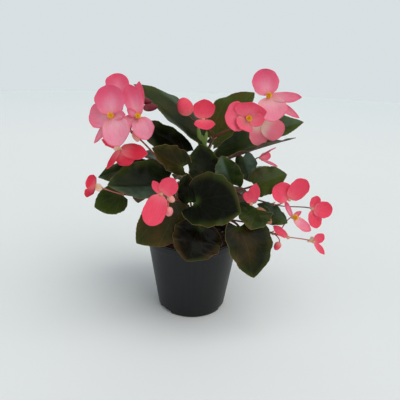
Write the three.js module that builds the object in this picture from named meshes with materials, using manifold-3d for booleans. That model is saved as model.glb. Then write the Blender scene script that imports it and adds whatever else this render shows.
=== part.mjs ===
// A bronze-leaved begonia with pink flowers in a round plastic nursery pot.
// Millimetres, +Z up. The origin is the centre of the pot's flat base, -Y is the front of the plant.
import * as THREE from 'three';
import { mergeVertices } from 'three/addons/utils/BufferGeometryUtils.js';
import Module from 'manifold-3d';

const wasm = await Module();
wasm.setup();

const GAP = 0.3;

// Pot
const POT_HEIGHT = 105;
const POT_FOOT_RADIUS = 43;
const POT_HEEL_RADIUS = 46.2;
const POT_HEEL_HEIGHT = 4;
const POT_SHOULDER_RADIUS = 60.6;
const RIM_RADIUS = 63.5;
const RIM_HEIGHT = 9;
const RIM_LIP = 1.2;
const RIM_ROLL = 2;
const POT_WALL = 1.6;
const POT_FLOOR = 2;
const POT_SIDES = 30;
const NOTCH_ANGLES = [-140, -20, 100];
const NOTCH_WIDTH = 23;
const NOTCH_HEIGHT = 5;
const NOTCH_REACH = 12;
const HEEL_CHAMFER = 1;
const DRAIN_RADIUS = 4;
const DRAIN_RING = 24;
const DRAIN_COUNT = 4;
const DRAIN_SIDES = 10;

// Soil
const SOIL_TOP = 93;
const SOIL_SIDES = 20;
const SOIL_RINGS = [0.4, 0.75];
const SOIL_BUMP = 1.5;
const SOIL_SHOULDER = 2;
const SOIL_GAP = 0.5;
const CROWN_RADIUS = 8;
const CROWN_DEPTH = 16;
const CROWN_RISE = 6;
const CROWN_SIDES = 12;

// Stems and stalks
const STEM_RADIUS = 3.6;
const STEM_SIDES = 6;
const STEM_STEPS = 6;
const PETIOLE_RADIUS = 1.5;
const PETIOLE_SIDES = 4;
const PETIOLE_STEPS = 3;
const PEDUNCLE_RADIUS = 1.3;
const PEDICEL_RADIUS = 0.9;
const PEDUNCLE_SIDES = 5;
const PEDUNCLE_STEPS = 6;
const PEDICEL_SIDES = 4;
const PEDICEL_STEPS = 3;
const PETIOLE_RISE = 35;
const PETIOLE_UNDER_BLADE = 2;
const PEDUNCLE_RISE = 40;
const PEDUNCLE_FOOT = 10;
const STALK_PULL = 0.35;
const KNOT_LENGTH = 5;
const KNOT_WIDTH = 4;
const KNOT_SIDES = 5;

// Leaf blades. The outline is widest past the shoulder, and the places along it are shares of its length.
const LEAF_THICKNESS = 0.8;
const LEAF_ROWS = 8;
const LEAF_COLUMNS = 4;
const LEAF_SHOULDER = 0.36;
const LEAF_BASE_NARROWING = 0.32;
const LEAF_TIP_START = 3.6;
const LEAF_TIP_ROUNDNESS = 0.95;
const LEAF_TOOTH = 0.035;
const LEAF_TEETH = 4;
const LEAF_WAVE = 2.2;
const LEAF_WAVES = 3;
const LEAF_SIDE_SHIFT = 2.1;
const LEAF_PHASE = 1.7;

// Petals
const PETAL_THICKNESS = 0.7;
const PETAL_ROWS = 4;
const PETAL_BROADEST = 0.55;
const PETAL_BASE = 0.28;
const PETAL_CUP = 14;
const PETAL_BEND = -18;
const BROAD_PETAL = 0.65;
const BROAD_TIP = 0.5;
const NARROW_TIP = 0.85;

// Flowers
const RECEPTACLE_RADIUS = 2.4;
const RECEPTACLE_HEIGHT = 2.4;
const PETAL_INSET = 1.5;
const PETAL_STEP = 0.9;
const STAMEN_RADIUS = 3.6;
const STAMEN_DIP = 0.74;
const BUD_STALK_INSET = 0.1;
const BUD_SIDES = 6;

const DEG = Math.PI / 180;
const UP = new THREE.Vector3(0, 0, 1);
const at = (p) => new THREE.Vector3(p[0], p[1], p[2]);

const colours = {
  pot: new THREE.MeshStandardMaterial({ color: 0x26282a, roughness: 0.55, metalness: 0 }),
  soil: new THREE.MeshStandardMaterial({ color: 0x2b2019, roughness: 1, metalness: 0 }),
  stem: new THREE.MeshStandardMaterial({ color: 0x6b5a33, roughness: 0.5, metalness: 0 }),
  leaf: new THREE.MeshStandardMaterial({ color: 0x2c3a1e, roughness: 0.35, metalness: 0 }),
  stalk: new THREE.MeshStandardMaterial({ color: 0x8a3b35, roughness: 0.5, metalness: 0 }),
  petal: new THREE.MeshStandardMaterial({ color: 0xe8637d, roughness: 0.55, metalness: 0 }),
  stamen: new THREE.MeshStandardMaterial({ color: 0xe6b422, roughness: 0.7, metalness: 0 }),
};

// The branches of the crown, each a curve through these points.
const branches = {
  top: [[0, 0, 88], [3, 3, 130], [10, 5, 180], [14, 5, 224]],
  left: [[-2, -1, 90], [-18, -8, 120], [-26, -16, 155], [-30, -20, 184]],
  right: [[2, -1, 90], [24, -8, 118], [42, -16, 150], [50, -20, 178]],
  front: [[0, -3, 90], [4, -24, 115], [8, -38, 146]],
  backLeft: [[-1, 2, 90], [-18, 24, 118], [-26, 38, 158]],
  backRight: [[2, 2, 90], [24, 26, 120], [38, 38, 165]],
};

// Leaves. `on` is the branch and how far up it the leaf stalk starts, `hub` is where the stalk meets
// the blade, and `face` is the way the upper side looks. Angles are in degrees.
const leaves = [
  { name: 'leaf_01', on: ['top', 0.93], hub: [6, -2, 234], tip: [-76, -8, 298], width: 60,
    face: [0.62, -0.4, 0.68], droop: 6, cup: 20, skew: 0.1, lobe: 0.06 },
  { name: 'leaf_02', on: ['top', 0.9], hub: [22, 14, 231], tip: [74, 32, 289], width: 58,
    face: [-0.5, -0.65, 0.55], droop: 24, cup: 12, skew: 0.12, lobe: 0.12 },
  { name: 'leaf_03', on: ['top', 0.8], hub: [29, 24, 216], tip: [140, 26, 254], width: 56,
    face: [-0.25, -0.6, 0.75], droop: 14, cup: 10, skew: 0.1, lobe: 0.1 },
  { name: 'leaf_04', on: ['top', 0.74], hub: [38, -24, 212], tip: [119, -36, 245], width: 36,
    face: [-0.22, 0.2, 0.95], droop: 8, cup: 10, skew: 0, lobe: 0.1 },
  { name: 'leaf_05', on: ['left', 0.97], hub: [-14, -34, 204], tip: [-50, -48, 230], width: 40,
    face: [0.3, -0.8, 0.5], droop: -30, cup: 32, skew: 0, lobe: 0.16 },
  { name: 'leaf_06', on: ['top', 0.7], hub: [-12, -6, 215], tip: [-69, -20, 256], width: 40,
    face: [0.35, -0.8, 0.45], droop: 10, cup: 8, skew: 0.1, lobe: 0.1 },
  { name: 'leaf_07', on: ['left', 0.85], hub: [-32, -36, 184], tip: [-101, -60, 187], width: 66,
    face: [-0.1, -0.6, 0.8], droop: -14, cup: 22, skew: 0, lobe: 0.14 },
  { name: 'leaf_08', on: ['left', 0.6], hub: [-92, -24, 166], tip: [-124, -34, 149], width: 48,
    face: [-0.2, -0.6, 0.7], droop: 24, cup: -8, skew: 0.1, lobe: 0.1 },
  { name: 'leaf_09', on: ['left', 0.7], hub: [-66, 10, 188], tip: [-128, 10, 175], width: 46,
    face: [-0.2, -0.4, 0.9], droop: 30, cup: 6, skew: 0, lobe: 0.14 },
  { name: 'leaf_10', on: ['front', 0.7], hub: [-25, -44, 167], tip: [-66, -75, 120], width: 62,
    face: [0.35, -0.85, 0.4], droop: 24, cup: 6, skew: 0.3, lobe: 0.1 },
  { name: 'leaf_11', on: ['front', 0.95], hub: [3, -68, 171], tip: [54, -92, 169], width: 66,
    face: [0.1, -0.88, 0.46], droop: 20, cup: 10, skew: 0.18, lobe: 0.26 },
  { name: 'leaf_12', on: ['top', 0.58], hub: [14, -30, 190], tip: [6, -16, 230], width: 40,
    face: [0.1, -0.95, 0.1], droop: -10, cup: 12, skew: 0, lobe: 0.14 },
  { name: 'leaf_13', on: ['right', 0.97], hub: [47, -34, 184], tip: [32, -38, 221], width: 34,
    face: [-0.2, -0.9, 0.3], droop: 16, cup: 8, skew: 0, lobe: 0.16 },
  { name: 'leaf_14', on: ['right', 0.75], hub: [38, -36, 171], tip: [68, -62, 180], width: 26,
    face: [0, 0.35, 0.95], droop: 12, cup: 6, skew: 0, lobe: 0.14 },
  { name: 'leaf_15', on: ['right', 0.9], hub: [74, -30, 183], tip: [111, -44, 202], width: 38,
    face: [-0.1, -0.8, 0.55], droop: 16, cup: 8, skew: 0, lobe: 0.14 },
  { name: 'leaf_16', on: ['right', 0.6], hub: [75, -48, 160], tip: [68, -80, 144], width: 44,
    face: [0.1, -0.6, 0.8], droop: 16, cup: 8, skew: 0, lobe: 0.2 },
  { name: 'leaf_17', on: ['right', 0.5], hub: [82, -38, 153], tip: [116, -50, 142], width: 28,
    face: [0.2, -0.75, 0.6], droop: 24, cup: 8, skew: 0, lobe: 0.16 },
  { name: 'leaf_18', on: ['front', 0.62], hub: [56, -66, 142], tip: [74, -92, 88], width: 58,
    face: [0.3, -0.88, 0.3], droop: 22, cup: 5, skew: 0.2, lobe: 0.14 },
  { name: 'leaf_19', on: ['front', 0.5], hub: [8, -64, 140], tip: [-6, -94, 108], width: 62,
    face: [0.05, -0.75, 0.6], droop: 26, cup: -10, skew: 0.1, lobe: 0.18 },
  { name: 'leaf_20', on: ['backLeft', 0.97], hub: [-44, 46, 184], tip: [-112, 62, 196], width: 62,
    face: [-0.1, 0.2, 1], droop: 34, cup: 12, skew: 0, lobe: 0.16 },
  { name: 'leaf_21', on: ['top', 0.62], hub: [8, 51, 189], tip: [12, 114, 176], width: 56,
    face: [0, 0.1, 1], droop: 34, cup: 10, skew: 0, lobe: 0.16 },
  { name: 'leaf_22', on: ['backRight', 0.95], hub: [66, 44, 178], tip: [124, 78, 168], width: 60,
    face: [0.1, 0.2, 1], droop: 34, cup: 10, skew: 0, lobe: 0.16 },
  { name: 'leaf_23', on: ['backLeft', 0.6], hub: [-46, 62, 148], tip: [-88, 96, 110], width: 58,
    face: [-0.4, 0.5, 0.7], droop: 30, cup: 6, skew: 0, lobe: 0.16 },
  { name: 'leaf_24', on: ['backRight', 0.55], hub: [42, 66, 150], tip: [70, 110, 108], width: 60,
    face: [0.3, 0.6, 0.7], droop: 30, cup: 6, skew: 0, lobe: 0.16 },
  { name: 'leaf_25', on: ['backLeft', 0.8], hub: [-6, 72, 160], tip: [-14, 124, 134], width: 56,
    face: [0, 0.5, 0.85], droop: 30, cup: 8, skew: 0, lobe: 0.16 },
  { name: 'leaf_26', on: ['top', 0.66], hub: [60, -8, 213], tip: [72, -14, 182], width: 32,
    face: [0.5, -0.8, 0.2], droop: 16, cup: 10, skew: 0, lobe: 0.14 },
  { name: 'leaf_27', on: ['front', 0.8], hub: [-4, -28, 158], tip: [-10, -22, 194], width: 30,
    face: [0, -0.95, 0.2], droop: 8, cup: 8, skew: 0, lobe: 0.16 },
];

// Blooms. `faces` is the way the bloom looks. A petal is its turn clockwise from straight up as the
// bloom's viewer sees it, its spread from the way the bloom faces, its length and its width.
const blooms = [
  { name: 'bloom_01', centre: [-93, -60, 267], faces: [-0.15, -0.93, 0.33], stamens: true,
    petals: [[-86, 98, 27, 30], [-8, 82, 33, 36], [84, 70, 17, 11], [156, 80, 35, 33]] },
  { name: 'bloom_02', centre: [-94, -34, 286], faces: [-0.05, -0.75, 0.65],
    petals: [[5, 75, 27, 29], [185, 110, 22, 24], [-85, 85, 18, 10]] },
  { name: 'bloom_03', centre: [-65, -52, 266], faces: [0.1, -0.9, 0.4], stamens: true,
    petals: [[2, 84, 39, 14], [-17, 78, 36, 22], [158, 70, 30, 25], [-60, 60, 14, 9]] },
  { name: 'bloom_04', centre: [-86, -54, 229], faces: [0.35, 0.75, -0.55],
    petals: [[-82, 60, 31, 20], [-140, 55, 20, 24], [150, 75, 28, 10], [75, 100, 26, 8]] },
  { name: 'bloom_05', centre: [9, -22, 261], faces: [0.1, -0.45, 0.9],
    petals: [[0, 25, 23, 28], [180, 92, 18, 26]], bend: -50 },
  { name: 'bloom_06', centre: [83, -30, 291], faces: [0.1, -0.93, 0.35], stamens: true,
    petals: [[124, 88, 43, 10], [-15, 80, 30, 33], [95, 72, 37, 13], [170, 78, 30, 36]] },
  { name: 'bloom_07', centre: [59, -54, 268], faces: [0.15, -0.92, 0.25], stamens: true,
    petals: [[-86, 66, 30, 34], [10, 55, 19, 38], [220, 58, 17, 24], [98, 55, 18, 16]], bend: -40 },
  { name: 'bloom_08', centre: [78, -28, 261], faces: [0.2, -0.85, -0.3],
    petals: [[192, 75, 27, 26], [116, 72, 28, 27]] },
  { name: 'bloom_09', centre: [83, 0, 211], faces: [0.95, -0.3, 0.05],
    petals: [[0, 32, 24, 13], [180, 22, 24, 12], [90, 50, 18, 12]] },
  { name: 'bloom_10', centre: [-34, -100, 191], faces: [0.1, -0.95, 0.2],
    petals: [[202, 80, 35, 26], [40, 75, 21, 21], [-32, 70, 17, 9]] },
  { name: 'bloom_11', centre: [-117, -52, 182], faces: [-0.96, 0.28, 0.05],
    petals: [[25, 60, 14, 22], [155, 60, 15, 22]] },
  { name: 'bloom_12', centre: [115, -52, 173], faces: [0.1, -0.95, 0.2],
    petals: [[-50, 80, 25, 26], [34, 72, 30, 23]] },
  { name: 'bloom_13', centre: [122, -48, 149], faces: [0.5, -0.8, 0.3], stamens: true,
    petals: [[-25, 85, 23, 8], [133, 80, 29, 14], [60, 60, 12, 7]] },
  { name: 'bloom_14', centre: [149, -32, 155], faces: [0.2, -0.93, 0.1],
    petals: [[10, 75, 17, 14], [95, 80, 24, 22], [165, 80, 24, 18]] },
  { name: 'bloom_15', centre: [119, -48, 122], faces: [0.1, -0.9, 0.3],
    petals: [[-54, 75, 25, 10]] },
  { name: 'bloom_16', centre: [151, -50, 118], faces: [0.4, -0.88, 0.1],
    petals: [[52, 72, 14, 15], [141, 78, 21, 8]] },
  { name: 'bloom_17', centre: [67, -74, 174], faces: [-0.2, -0.9, 0.3],
    petals: [[10, 72, 24, 14], [-30, 60, 15, 10]] },
  { name: 'bloom_18', centre: [36, 66, 246], faces: [0.2, 0.9, 0.35],
    petals: [[0, 80, 28, 30], [180, 80, 30, 30], [90, 75, 20, 12], [-90, 75, 20, 12]] },
];

// Sprays. `on` is the branch and how far up it the stalk starts, and `stalk` are the points that it
// passes up to its head. Each bloom and bud hangs from one of those points, counted from 0.
const sprays = [
  { name: 'spray_01', on: ['left', 0.92], stalk: [[-44, -16, 205], [-58, -30, 228], [-74, -40, 246]],
    blooms: { bloom_01: 2, bloom_02: 2, bloom_03: 2, bloom_04: 2 },
    buds: [{ from: 2, centre: [-52, -44, 276], points: [0.9, 0.1, 0.1], length: 17, width: 9 },
      { from: 2, centre: [-57, -38, 282], points: [1, 0, -0.2], length: 12, width: 8 },
      { from: 2, centre: [-100, -43, 233], points: [-0.9, 0, -0.3], length: 13, width: 8 }] },
  { name: 'spray_02', on: ['top', 0.95], stalk: [[22, -10, 236], [44, -22, 252], [62, -20, 262]],
    blooms: { bloom_05: 0, bloom_06: 2, bloom_07: 2, bloom_08: 2 },
    buds: [{ from: 0, centre: [-13, -28, 276], points: [-0.4, -0.3, 0.9], length: 23, width: 19 }] },
  { name: 'spray_03', on: ['left', 0.75], stalk: [[-18, -50, 190], [-22, -80, 192]],
    blooms: { bloom_10: 1 },
    buds: [{ from: 1, centre: [-26, -100, 171], points: [0.1, -0.2, -1], length: 11, width: 10 },
      { from: 1, centre: [-24, -95, 184], points: [0.8, -0.3, -0.5], length: 10, width: 8 }] },
  { name: 'spray_04', on: ['left', 0.68], stalk: [[-60, -46, 168], [-84, -54, 174]],
    blooms: { bloom_11: 1 }, buds: [] },
  { name: 'spray_05', on: ['right', 0.82], stalk: [[70, -22, 164], [100, -28, 158]],
    blooms: { bloom_09: 0, bloom_12: 1, bloom_14: 1, bloom_17: 0 }, buds: [] },
  { name: 'spray_06', on: ['right', 0.4], stalk: [[70, -34, 134], [100, -40, 124]],
    blooms: { bloom_13: 1, bloom_15: 1, bloom_16: 1 },
    buds: [{ from: 1, centre: [107, -46, 109], points: [-0.4, 0, -1], length: 12, width: 9 }] },
  { name: 'spray_07', on: ['backRight', 0.75], stalk: [[38, 46, 196], [40, 50, 222]],
    blooms: { bloom_18: 1 }, buds: [] },
];

// Turns a closed geometry into a solid for adding and cutting.
function solidFrom(geometry) {
  const bare = new THREE.BufferGeometry();
  const flat = geometry.index ? geometry.toNonIndexed() : geometry;
  bare.setAttribute('position', flat.getAttribute('position'));
  const merged = mergeVertices(bare, 1e-4);
  const index = merged.index.array;
  const kept = [];
  for (let i = 0; i < index.length; i += 3) {
    const [a, b, c] = [index[i], index[i + 1], index[i + 2]];
    if (a !== b && b !== c && c !== a) kept.push(a, b, c);
  }
  return new wasm.Manifold(new wasm.Mesh({
    numProp: 3,
    vertProperties: merged.attributes.position.array,
    triVerts: new Uint32Array(kept),
  }));
}

function geometryFrom(solid) {
  const mesh = solid.getMesh();
  const geometry = new THREE.BufferGeometry();
  geometry.setAttribute('position', new THREE.BufferAttribute(new Float32Array(mesh.vertProperties), 3));
  geometry.setIndex(new THREE.BufferAttribute(new Uint32Array(mesh.triVerts), 1));
  geometry.computeVertexNormals();
  return geometry;
}

const join = (solids) => solids.reduce((whole, piece) => whole.add(piece));

// A solid of revolution about +Z from a list of radius and height pairs that starts and ends on the axis.
function latheSolid(profile, sides) {
  const geometry = new THREE.LatheGeometry(profile.map(([r, z]) => new THREE.Vector2(r, z)), sides);
  geometry.rotateX(Math.PI / 2);
  return solidFrom(geometry);
}

// A round tube of one thickness along a curve.
function tubeSolid(curve, radius, sides, steps) {
  const ring = [];
  for (let k = 0; k < sides; k++) {
    const turn = (2 * Math.PI * k) / sides;
    ring.push(new THREE.Vector2(radius * Math.cos(turn), radius * Math.sin(turn)));
  }
  return solidFrom(new THREE.ExtrudeGeometry(new THREE.Shape(ring), {
    steps, extrudePath: curve, bevelEnabled: false, curveSegments: 1,
  }));
}

// An egg shape whose long axis lies along a direction.
function eggSolid(centre, direction, length, width, sides) {
  const geometry = new THREE.SphereGeometry(0.5, sides, sides - 2);
  geometry.scale(width, length, width);
  geometry.applyQuaternion(new THREE.Quaternion().setFromUnitVectors(
    new THREE.Vector3(0, 1, 0), direction.clone().normalize()));
  geometry.translate(centre.x, centre.y, centre.z);
  return solidFrom(geometry);
}

// A petal rises in a round from its base and closes to a tip, which is blunt at a half and sharper above.
function petalOutline(u, tip) {
  const beyond = (u - PETAL_BROADEST) / (1 - PETAL_BROADEST);
  if (beyond > 0) return Math.max(0, 1 - beyond ** 2) ** tip;
  return PETAL_BASE + (1 - PETAL_BASE) * Math.sqrt(1 - (1 - u / PETAL_BROADEST) ** 2);
}

// Half-widths along a blade, as a share of its widest place. u is 0 at the base and 1 at the tip.
const outlines = {
  leaf(u) {
    const below = Math.max(0, 1 - u / LEAF_SHOULDER);
    return (1 - LEAF_BASE_NARROWING * below ** 2) * (1 - u ** LEAF_TIP_START) ** LEAF_TIP_ROUNDNESS;
  },
  broadPetal: (u) => petalOutline(u, BROAD_TIP),
  narrowPetal: (u) => petalOutline(u, NARROW_TIP),
};

// The frame of a blade that arches from its base to its tip, turning by `droop` on the way.
function bladeFrame(base, tip, face, droop) {
  const chord = tip.clone().sub(base);
  const reach = chord.length();
  const along = chord.divideScalar(reach);
  const normal = face.clone().addScaledVector(along, -face.dot(along)).normalize();
  const side = new THREE.Vector3().crossVectors(normal, along);
  const half = (droop || 0.01) / 2;
  return {
    base: base.clone(),
    side,
    along: along.clone().multiplyScalar(Math.cos(half)).addScaledVector(normal, Math.sin(half)),
    normal: normal.clone().multiplyScalar(Math.cos(half)).addScaledVector(along, -Math.sin(half)),
    radius: reach / (2 * Math.sin(half)),
    droop: 2 * half,
  };
}

// A point of the middle surface of a blade. v is -1 at one margin and 1 at the other. The lobes beside
// the base reach back past it, the teeth fade inwards from the margin, and so do the waves.
function bladePoint(blade, u, v) {
  const { frame } = blade;
  const across = Math.abs(v);
  const bend = frame.droop * (u - blade.lobe * across ** 1.6 * (1 - u) ** 3);
  const tooth = 1 + blade.tooth * across ** 4 * Math.cos(2 * Math.PI * blade.teeth * u);
  const half = (blade.width / 2) * blade.outline(u) * tooth * (1 + blade.skew * Math.sign(v));
  const turn = 2 * Math.PI * LEAF_WAVES * u + LEAF_SIDE_SHIFT * Math.sign(v) + blade.phase;
  const wave = blade.wave * v * v * Math.sin(Math.PI * u) * Math.sin(turn);
  const rise = half * across * Math.sin(blade.cup) + wave;
  return frame.base.clone()
    .addScaledVector(frame.along, frame.radius * Math.sin(bend) + rise * Math.sin(bend))
    .addScaledVector(frame.normal, frame.radius * (Math.cos(bend) - 1) + rise * Math.cos(bend))
    .addScaledVector(frame.side, half * v * Math.cos(blade.cup));
}

function bladeNormal(blade, u, v) {
  const step = 0.02;
  const [uc, vc] = [Math.min(Math.max(u, step), 0.94), Math.min(Math.max(v, step - 1), 1 - step)];
  const along = bladePoint(blade, uc + step, vc).sub(bladePoint(blade, uc - step, vc));
  const across = bladePoint(blade, uc, vc + step).sub(bladePoint(blade, uc, vc - step));
  return along.cross(across).normalize();
}

// A blade as one closed plate, with both faces split into triangles alike.
function bladeSolid(blade) {
  const { rows, columns, thickness } = blade;
  const points = [];
  const faces = [];
  const id = (i, j, face) => (i === rows ? rows * (columns + 1) : i * (columns + 1) + j) * 2 + face;
  const quad = (a, b, c, d) => faces.push(a, b, c, a, c, d);
  for (let i = 0; i <= rows; i++) {
    const last = i === rows;
    for (let j = 0; j <= (last ? 0 : columns); j++) {
      const u = blade.spacing(i / rows);
      const v = last ? 0 : (2 * j) / columns - 1;
      const point = bladePoint(blade, u, v);
      const normal = bladeNormal(blade, u, v);
      points.push(point.clone().addScaledVector(normal, thickness / 2));
      points.push(point.clone().addScaledVector(normal, -thickness / 2));
    }
  }
  for (let i = 0; i < rows; i++) {
    for (let j = 0; j < columns; j++) {
      const corners = [[i, j], [i + 1, j], [i + 1, j + 1], [i, j + 1]];
      const inward = j < columns / 2 ? [[0, 1, 2], [0, 2, 3]] : [[0, 1, 3], [1, 2, 3]];
      for (const [a, b, c] of i === rows - 1 ? [[0, 1, 3]] : inward) {
        faces.push(id(...corners[a], 0), id(...corners[b], 0), id(...corners[c], 0));
        faces.push(id(...corners[a], 1), id(...corners[c], 1), id(...corners[b], 1));
      }
    }
    quad(id(i + 1, 0, 0), id(i, 0, 0), id(i, 0, 1), id(i + 1, 0, 1));
    quad(id(i, columns, 0), id(i + 1, columns, 0), id(i + 1, columns, 1), id(i, columns, 1));
  }
  for (let j = 0; j < columns; j++) quad(id(0, j, 0), id(0, j + 1, 0), id(0, j + 1, 1), id(0, j, 1));
  const geometry = new THREE.BufferGeometry();
  geometry.setAttribute('position', new THREE.Float32BufferAttribute(points.flatMap((p) => p.toArray()), 3));
  geometry.setIndex(faces);
  return solidFrom(geometry);
}

const curves = Object.fromEntries(Object.entries(branches)
  .map(([name, points]) => [name, new THREE.CatmullRomCurve3(points.map(at))]));

// Where a stalk leaves a branch: from the branch's middle, rising towards `goal`.
function leaving([branch, share], goal, rise) {
  const point = curves[branch].getPointAt(share);
  const out = goal.clone().sub(point).setZ(0).normalize();
  return { point, way: out.multiplyScalar(Math.cos(rise)).addScaledVector(UP, Math.sin(rise)) };
}

function makePot() {
  const inner = POT_SHOULDER_RADIUS - POT_WALL;
  const body = latheSolid([
    [0, 0], [POT_FOOT_RADIUS, 0], [POT_HEEL_RADIUS - HEEL_CHAMFER, HEEL_CHAMFER],
    [POT_HEEL_RADIUS, POT_HEEL_HEIGHT],
    [POT_SHOULDER_RADIUS, POT_HEIGHT - RIM_HEIGHT], [RIM_RADIUS - RIM_LIP, POT_HEIGHT - RIM_HEIGHT],
    [RIM_RADIUS - RIM_LIP / 2, POT_HEIGHT - RIM_ROLL], [RIM_RADIUS, POT_HEIGHT - RIM_ROLL],
    [RIM_RADIUS, POT_HEIGHT], [inner + RIM_LIP, POT_HEIGHT], [inner, POT_HEIGHT - RIM_HEIGHT],
    [POT_HEEL_RADIUS - POT_WALL, POT_FLOOR], [0, POT_FLOOR],
  ], POT_SIDES);
  const cuts = NOTCH_ANGLES.map((angle) => {
    const notch = new THREE.BoxGeometry(NOTCH_REACH, NOTCH_WIDTH, 2 * NOTCH_HEIGHT);
    notch.translate(POT_HEEL_RADIUS, 0, 0);
    notch.rotateZ(angle * DEG);
    return solidFrom(notch);
  });
  for (let k = 0; k < DRAIN_COUNT; k++) {
    const hole = new THREE.CylinderGeometry(DRAIN_RADIUS, DRAIN_RADIUS, 4 * POT_FLOOR, DRAIN_SIDES);
    hole.rotateX(Math.PI / 2);
    hole.translate(DRAIN_RING, 0, 0);
    hole.rotateZ(((k + 0.5) / DRAIN_COUNT) * 2 * Math.PI);
    cuts.push(solidFrom(hole));
  }
  return body.subtract(join(cuts));
}

// The crown and its branches. `grow` thickens them, to cut the hole that they stand in.
function makeStems(grow) {
  const crown = latheSolid([
    [0, SOIL_TOP - CROWN_DEPTH - grow], [CROWN_RADIUS * 0.6 + grow, SOIL_TOP - CROWN_DEPTH - grow],
    [CROWN_RADIUS + grow, SOIL_TOP - CROWN_RISE], [CROWN_RADIUS * 0.9 + grow, SOIL_TOP + CROWN_RISE / 2],
    [0, SOIL_TOP + CROWN_RISE + grow],
  ], CROWN_SIDES);
  const tubes = Object.values(curves)
    .map((curve) => tubeSolid(curve, STEM_RADIUS + grow, STEM_SIDES, STEM_STEPS));
  return join([crown, ...tubes]);
}

// What is cut from the soil and from the foot of each stalk, so that they end at the bark.
const bark = makeStems(GAP);

function makeSoil() {
  const bottom = POT_FLOOR + GAP;
  const radiusAt = (z) => POT_HEEL_RADIUS - POT_WALL - SOIL_GAP
    + ((z - POT_FLOOR) / (POT_HEIGHT - RIM_HEIGHT - POT_FLOOR)) * (POT_SHOULDER_RADIUS - POT_HEEL_RADIUS);
  const brim = radiusAt(SOIL_TOP - SOIL_SHOULDER);
  const rings = [...SOIL_RINGS].reverse().map((share) => [brim * share, SOIL_TOP]);
  const profile = [
    [0, bottom], [radiusAt(bottom), bottom], [brim, SOIL_TOP - SOIL_SHOULDER], ...rings, [0, SOIL_TOP],
  ];
  const geometry = new THREE.LatheGeometry(profile.map(([r, z]) => new THREE.Vector2(r, z)), SOIL_SIDES);
  geometry.rotateX(Math.PI / 2);
  const position = geometry.attributes.position;
  for (let i = 0; i < position.count; i++) {
    const [x, y, z] = [position.getX(i), position.getY(i), position.getZ(i)];
    const bump = Math.sin(x * 0.61 + 1.3) * Math.cos(y * 0.53 + 0.4) + 0.5 * Math.sin((x + 2 * y) * 0.9);
    if (z > SOIL_TOP - SOIL_SHOULDER / 2) position.setZ(i, z + SOIL_BUMP * bump / 1.5);
  }
  return solidFrom(geometry).subtract(bark);
}

function makeLeaf(leaf, phase) {
  const [hub, tip] = [at(leaf.hub), at(leaf.tip)];
  const frame = bladeFrame(hub, tip, at(leaf.face), leaf.droop * DEG);
  const blade = bladeSolid({
    ...leaf, frame, cup: leaf.cup * DEG, outline: outlines.leaf, phase,
    tooth: LEAF_TOOTH, teeth: LEAF_TEETH, wave: LEAF_WAVE,
    rows: LEAF_ROWS, columns: LEAF_COLUMNS, thickness: LEAF_THICKNESS, spacing: (t) => t,
  });
  const start = leaving(leaf.on, hub, PETIOLE_RISE * DEG);
  const pull = start.point.distanceTo(hub) * STALK_PULL;
  const end = hub.clone().addScaledVector(frame.along, PETIOLE_UNDER_BLADE)
    .addScaledVector(frame.normal, -LEAF_THICKNESS / 2);
  const below = end.clone().addScaledVector(frame.along, -pull)
    .addScaledVector(frame.normal, -pull * STALK_PULL);
  const petiole = new THREE.CubicBezierCurve3(
    start.point, start.point.clone().addScaledVector(start.way, pull), below, end);
  return blade.add(tubeSolid(petiole, PETIOLE_RADIUS, PETIOLE_SIDES, PETIOLE_STEPS).subtract(bark));
}

function makeBloom(bloom) {
  const centre = at(bloom.centre);
  const axis = at(bloom.faces).normalize();
  const up = UP.clone().addScaledVector(axis, -UP.dot(axis)).normalize();
  const right = new THREE.Vector3().crossVectors(up, axis);
  const receptacle = new THREE.CylinderGeometry(
    RECEPTACLE_RADIUS, RECEPTACLE_RADIUS * 0.6, RECEPTACLE_HEIGHT, 6);
  receptacle.applyQuaternion(new THREE.Quaternion().setFromUnitVectors(new THREE.Vector3(0, 1, 0), axis));
  receptacle.translate(centre.x, centre.y, centre.z);
  const pieces = bloom.petals.map(([turn, spread, length, width], k) => {
    const radial = up.clone().multiplyScalar(Math.cos(turn * DEG))
      .addScaledVector(right, Math.sin(turn * DEG));
    const way = axis.clone().multiplyScalar(Math.cos(spread * DEG))
      .addScaledVector(radial, Math.sin(spread * DEG));
    const base = centre.clone().addScaledVector(radial, PETAL_INSET)
      .addScaledVector(axis, PETAL_STEP * ((k % 2) - 0.5));
    const tip = base.clone().addScaledVector(way, length);
    const broad = width > BROAD_PETAL * length;
    return bladeSolid({
      frame: bladeFrame(base, tip, axis, (bloom.bend ?? PETAL_BEND) * DEG),
      width, outline: broad ? outlines.broadPetal : outlines.narrowPetal, cup: PETAL_CUP * DEG,
      skew: 0, lobe: 0, tooth: 0, teeth: 0, wave: 0, phase: 0,
      rows: PETAL_ROWS, columns: broad ? 4 : 2, thickness: PETAL_THICKNESS,
      spacing: (t) => 1 - (1 - t) ** 1.5,
    });
  });
  return join([solidFrom(receptacle), ...pieces]);
}

// A tight head of stamens: a ball whose corners stand out as knobs.
function makeStamens(bloom) {
  const axis = at(bloom.faces).normalize();
  const ball = new THREE.IcosahedronGeometry(1, 1);
  const position = ball.attributes.position;
  const corners = new THREE.IcosahedronGeometry(1, 0).attributes.position;
  const point = new THREE.Vector3();
  const corner = new THREE.Vector3();
  for (let i = 0; i < position.count; i++) {
    point.fromBufferAttribute(position, i);
    let nearest = 1;
    for (let k = 0; k < corners.count; k++) {
      nearest = Math.min(nearest, corner.fromBufferAttribute(corners, k).distanceTo(point));
    }
    point.multiplyScalar(nearest < 0.1 ? STAMEN_RADIUS : STAMEN_RADIUS * STAMEN_DIP);
    position.setXYZ(i, point.x, point.y, point.z);
  }
  const lift = RECEPTACLE_HEIGHT / 2 + GAP + STAMEN_RADIUS;
  const middle = at(bloom.centre).addScaledVector(axis, lift);
  ball.translate(middle.x, middle.y, middle.z);
  return solidFrom(ball);
}

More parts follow.
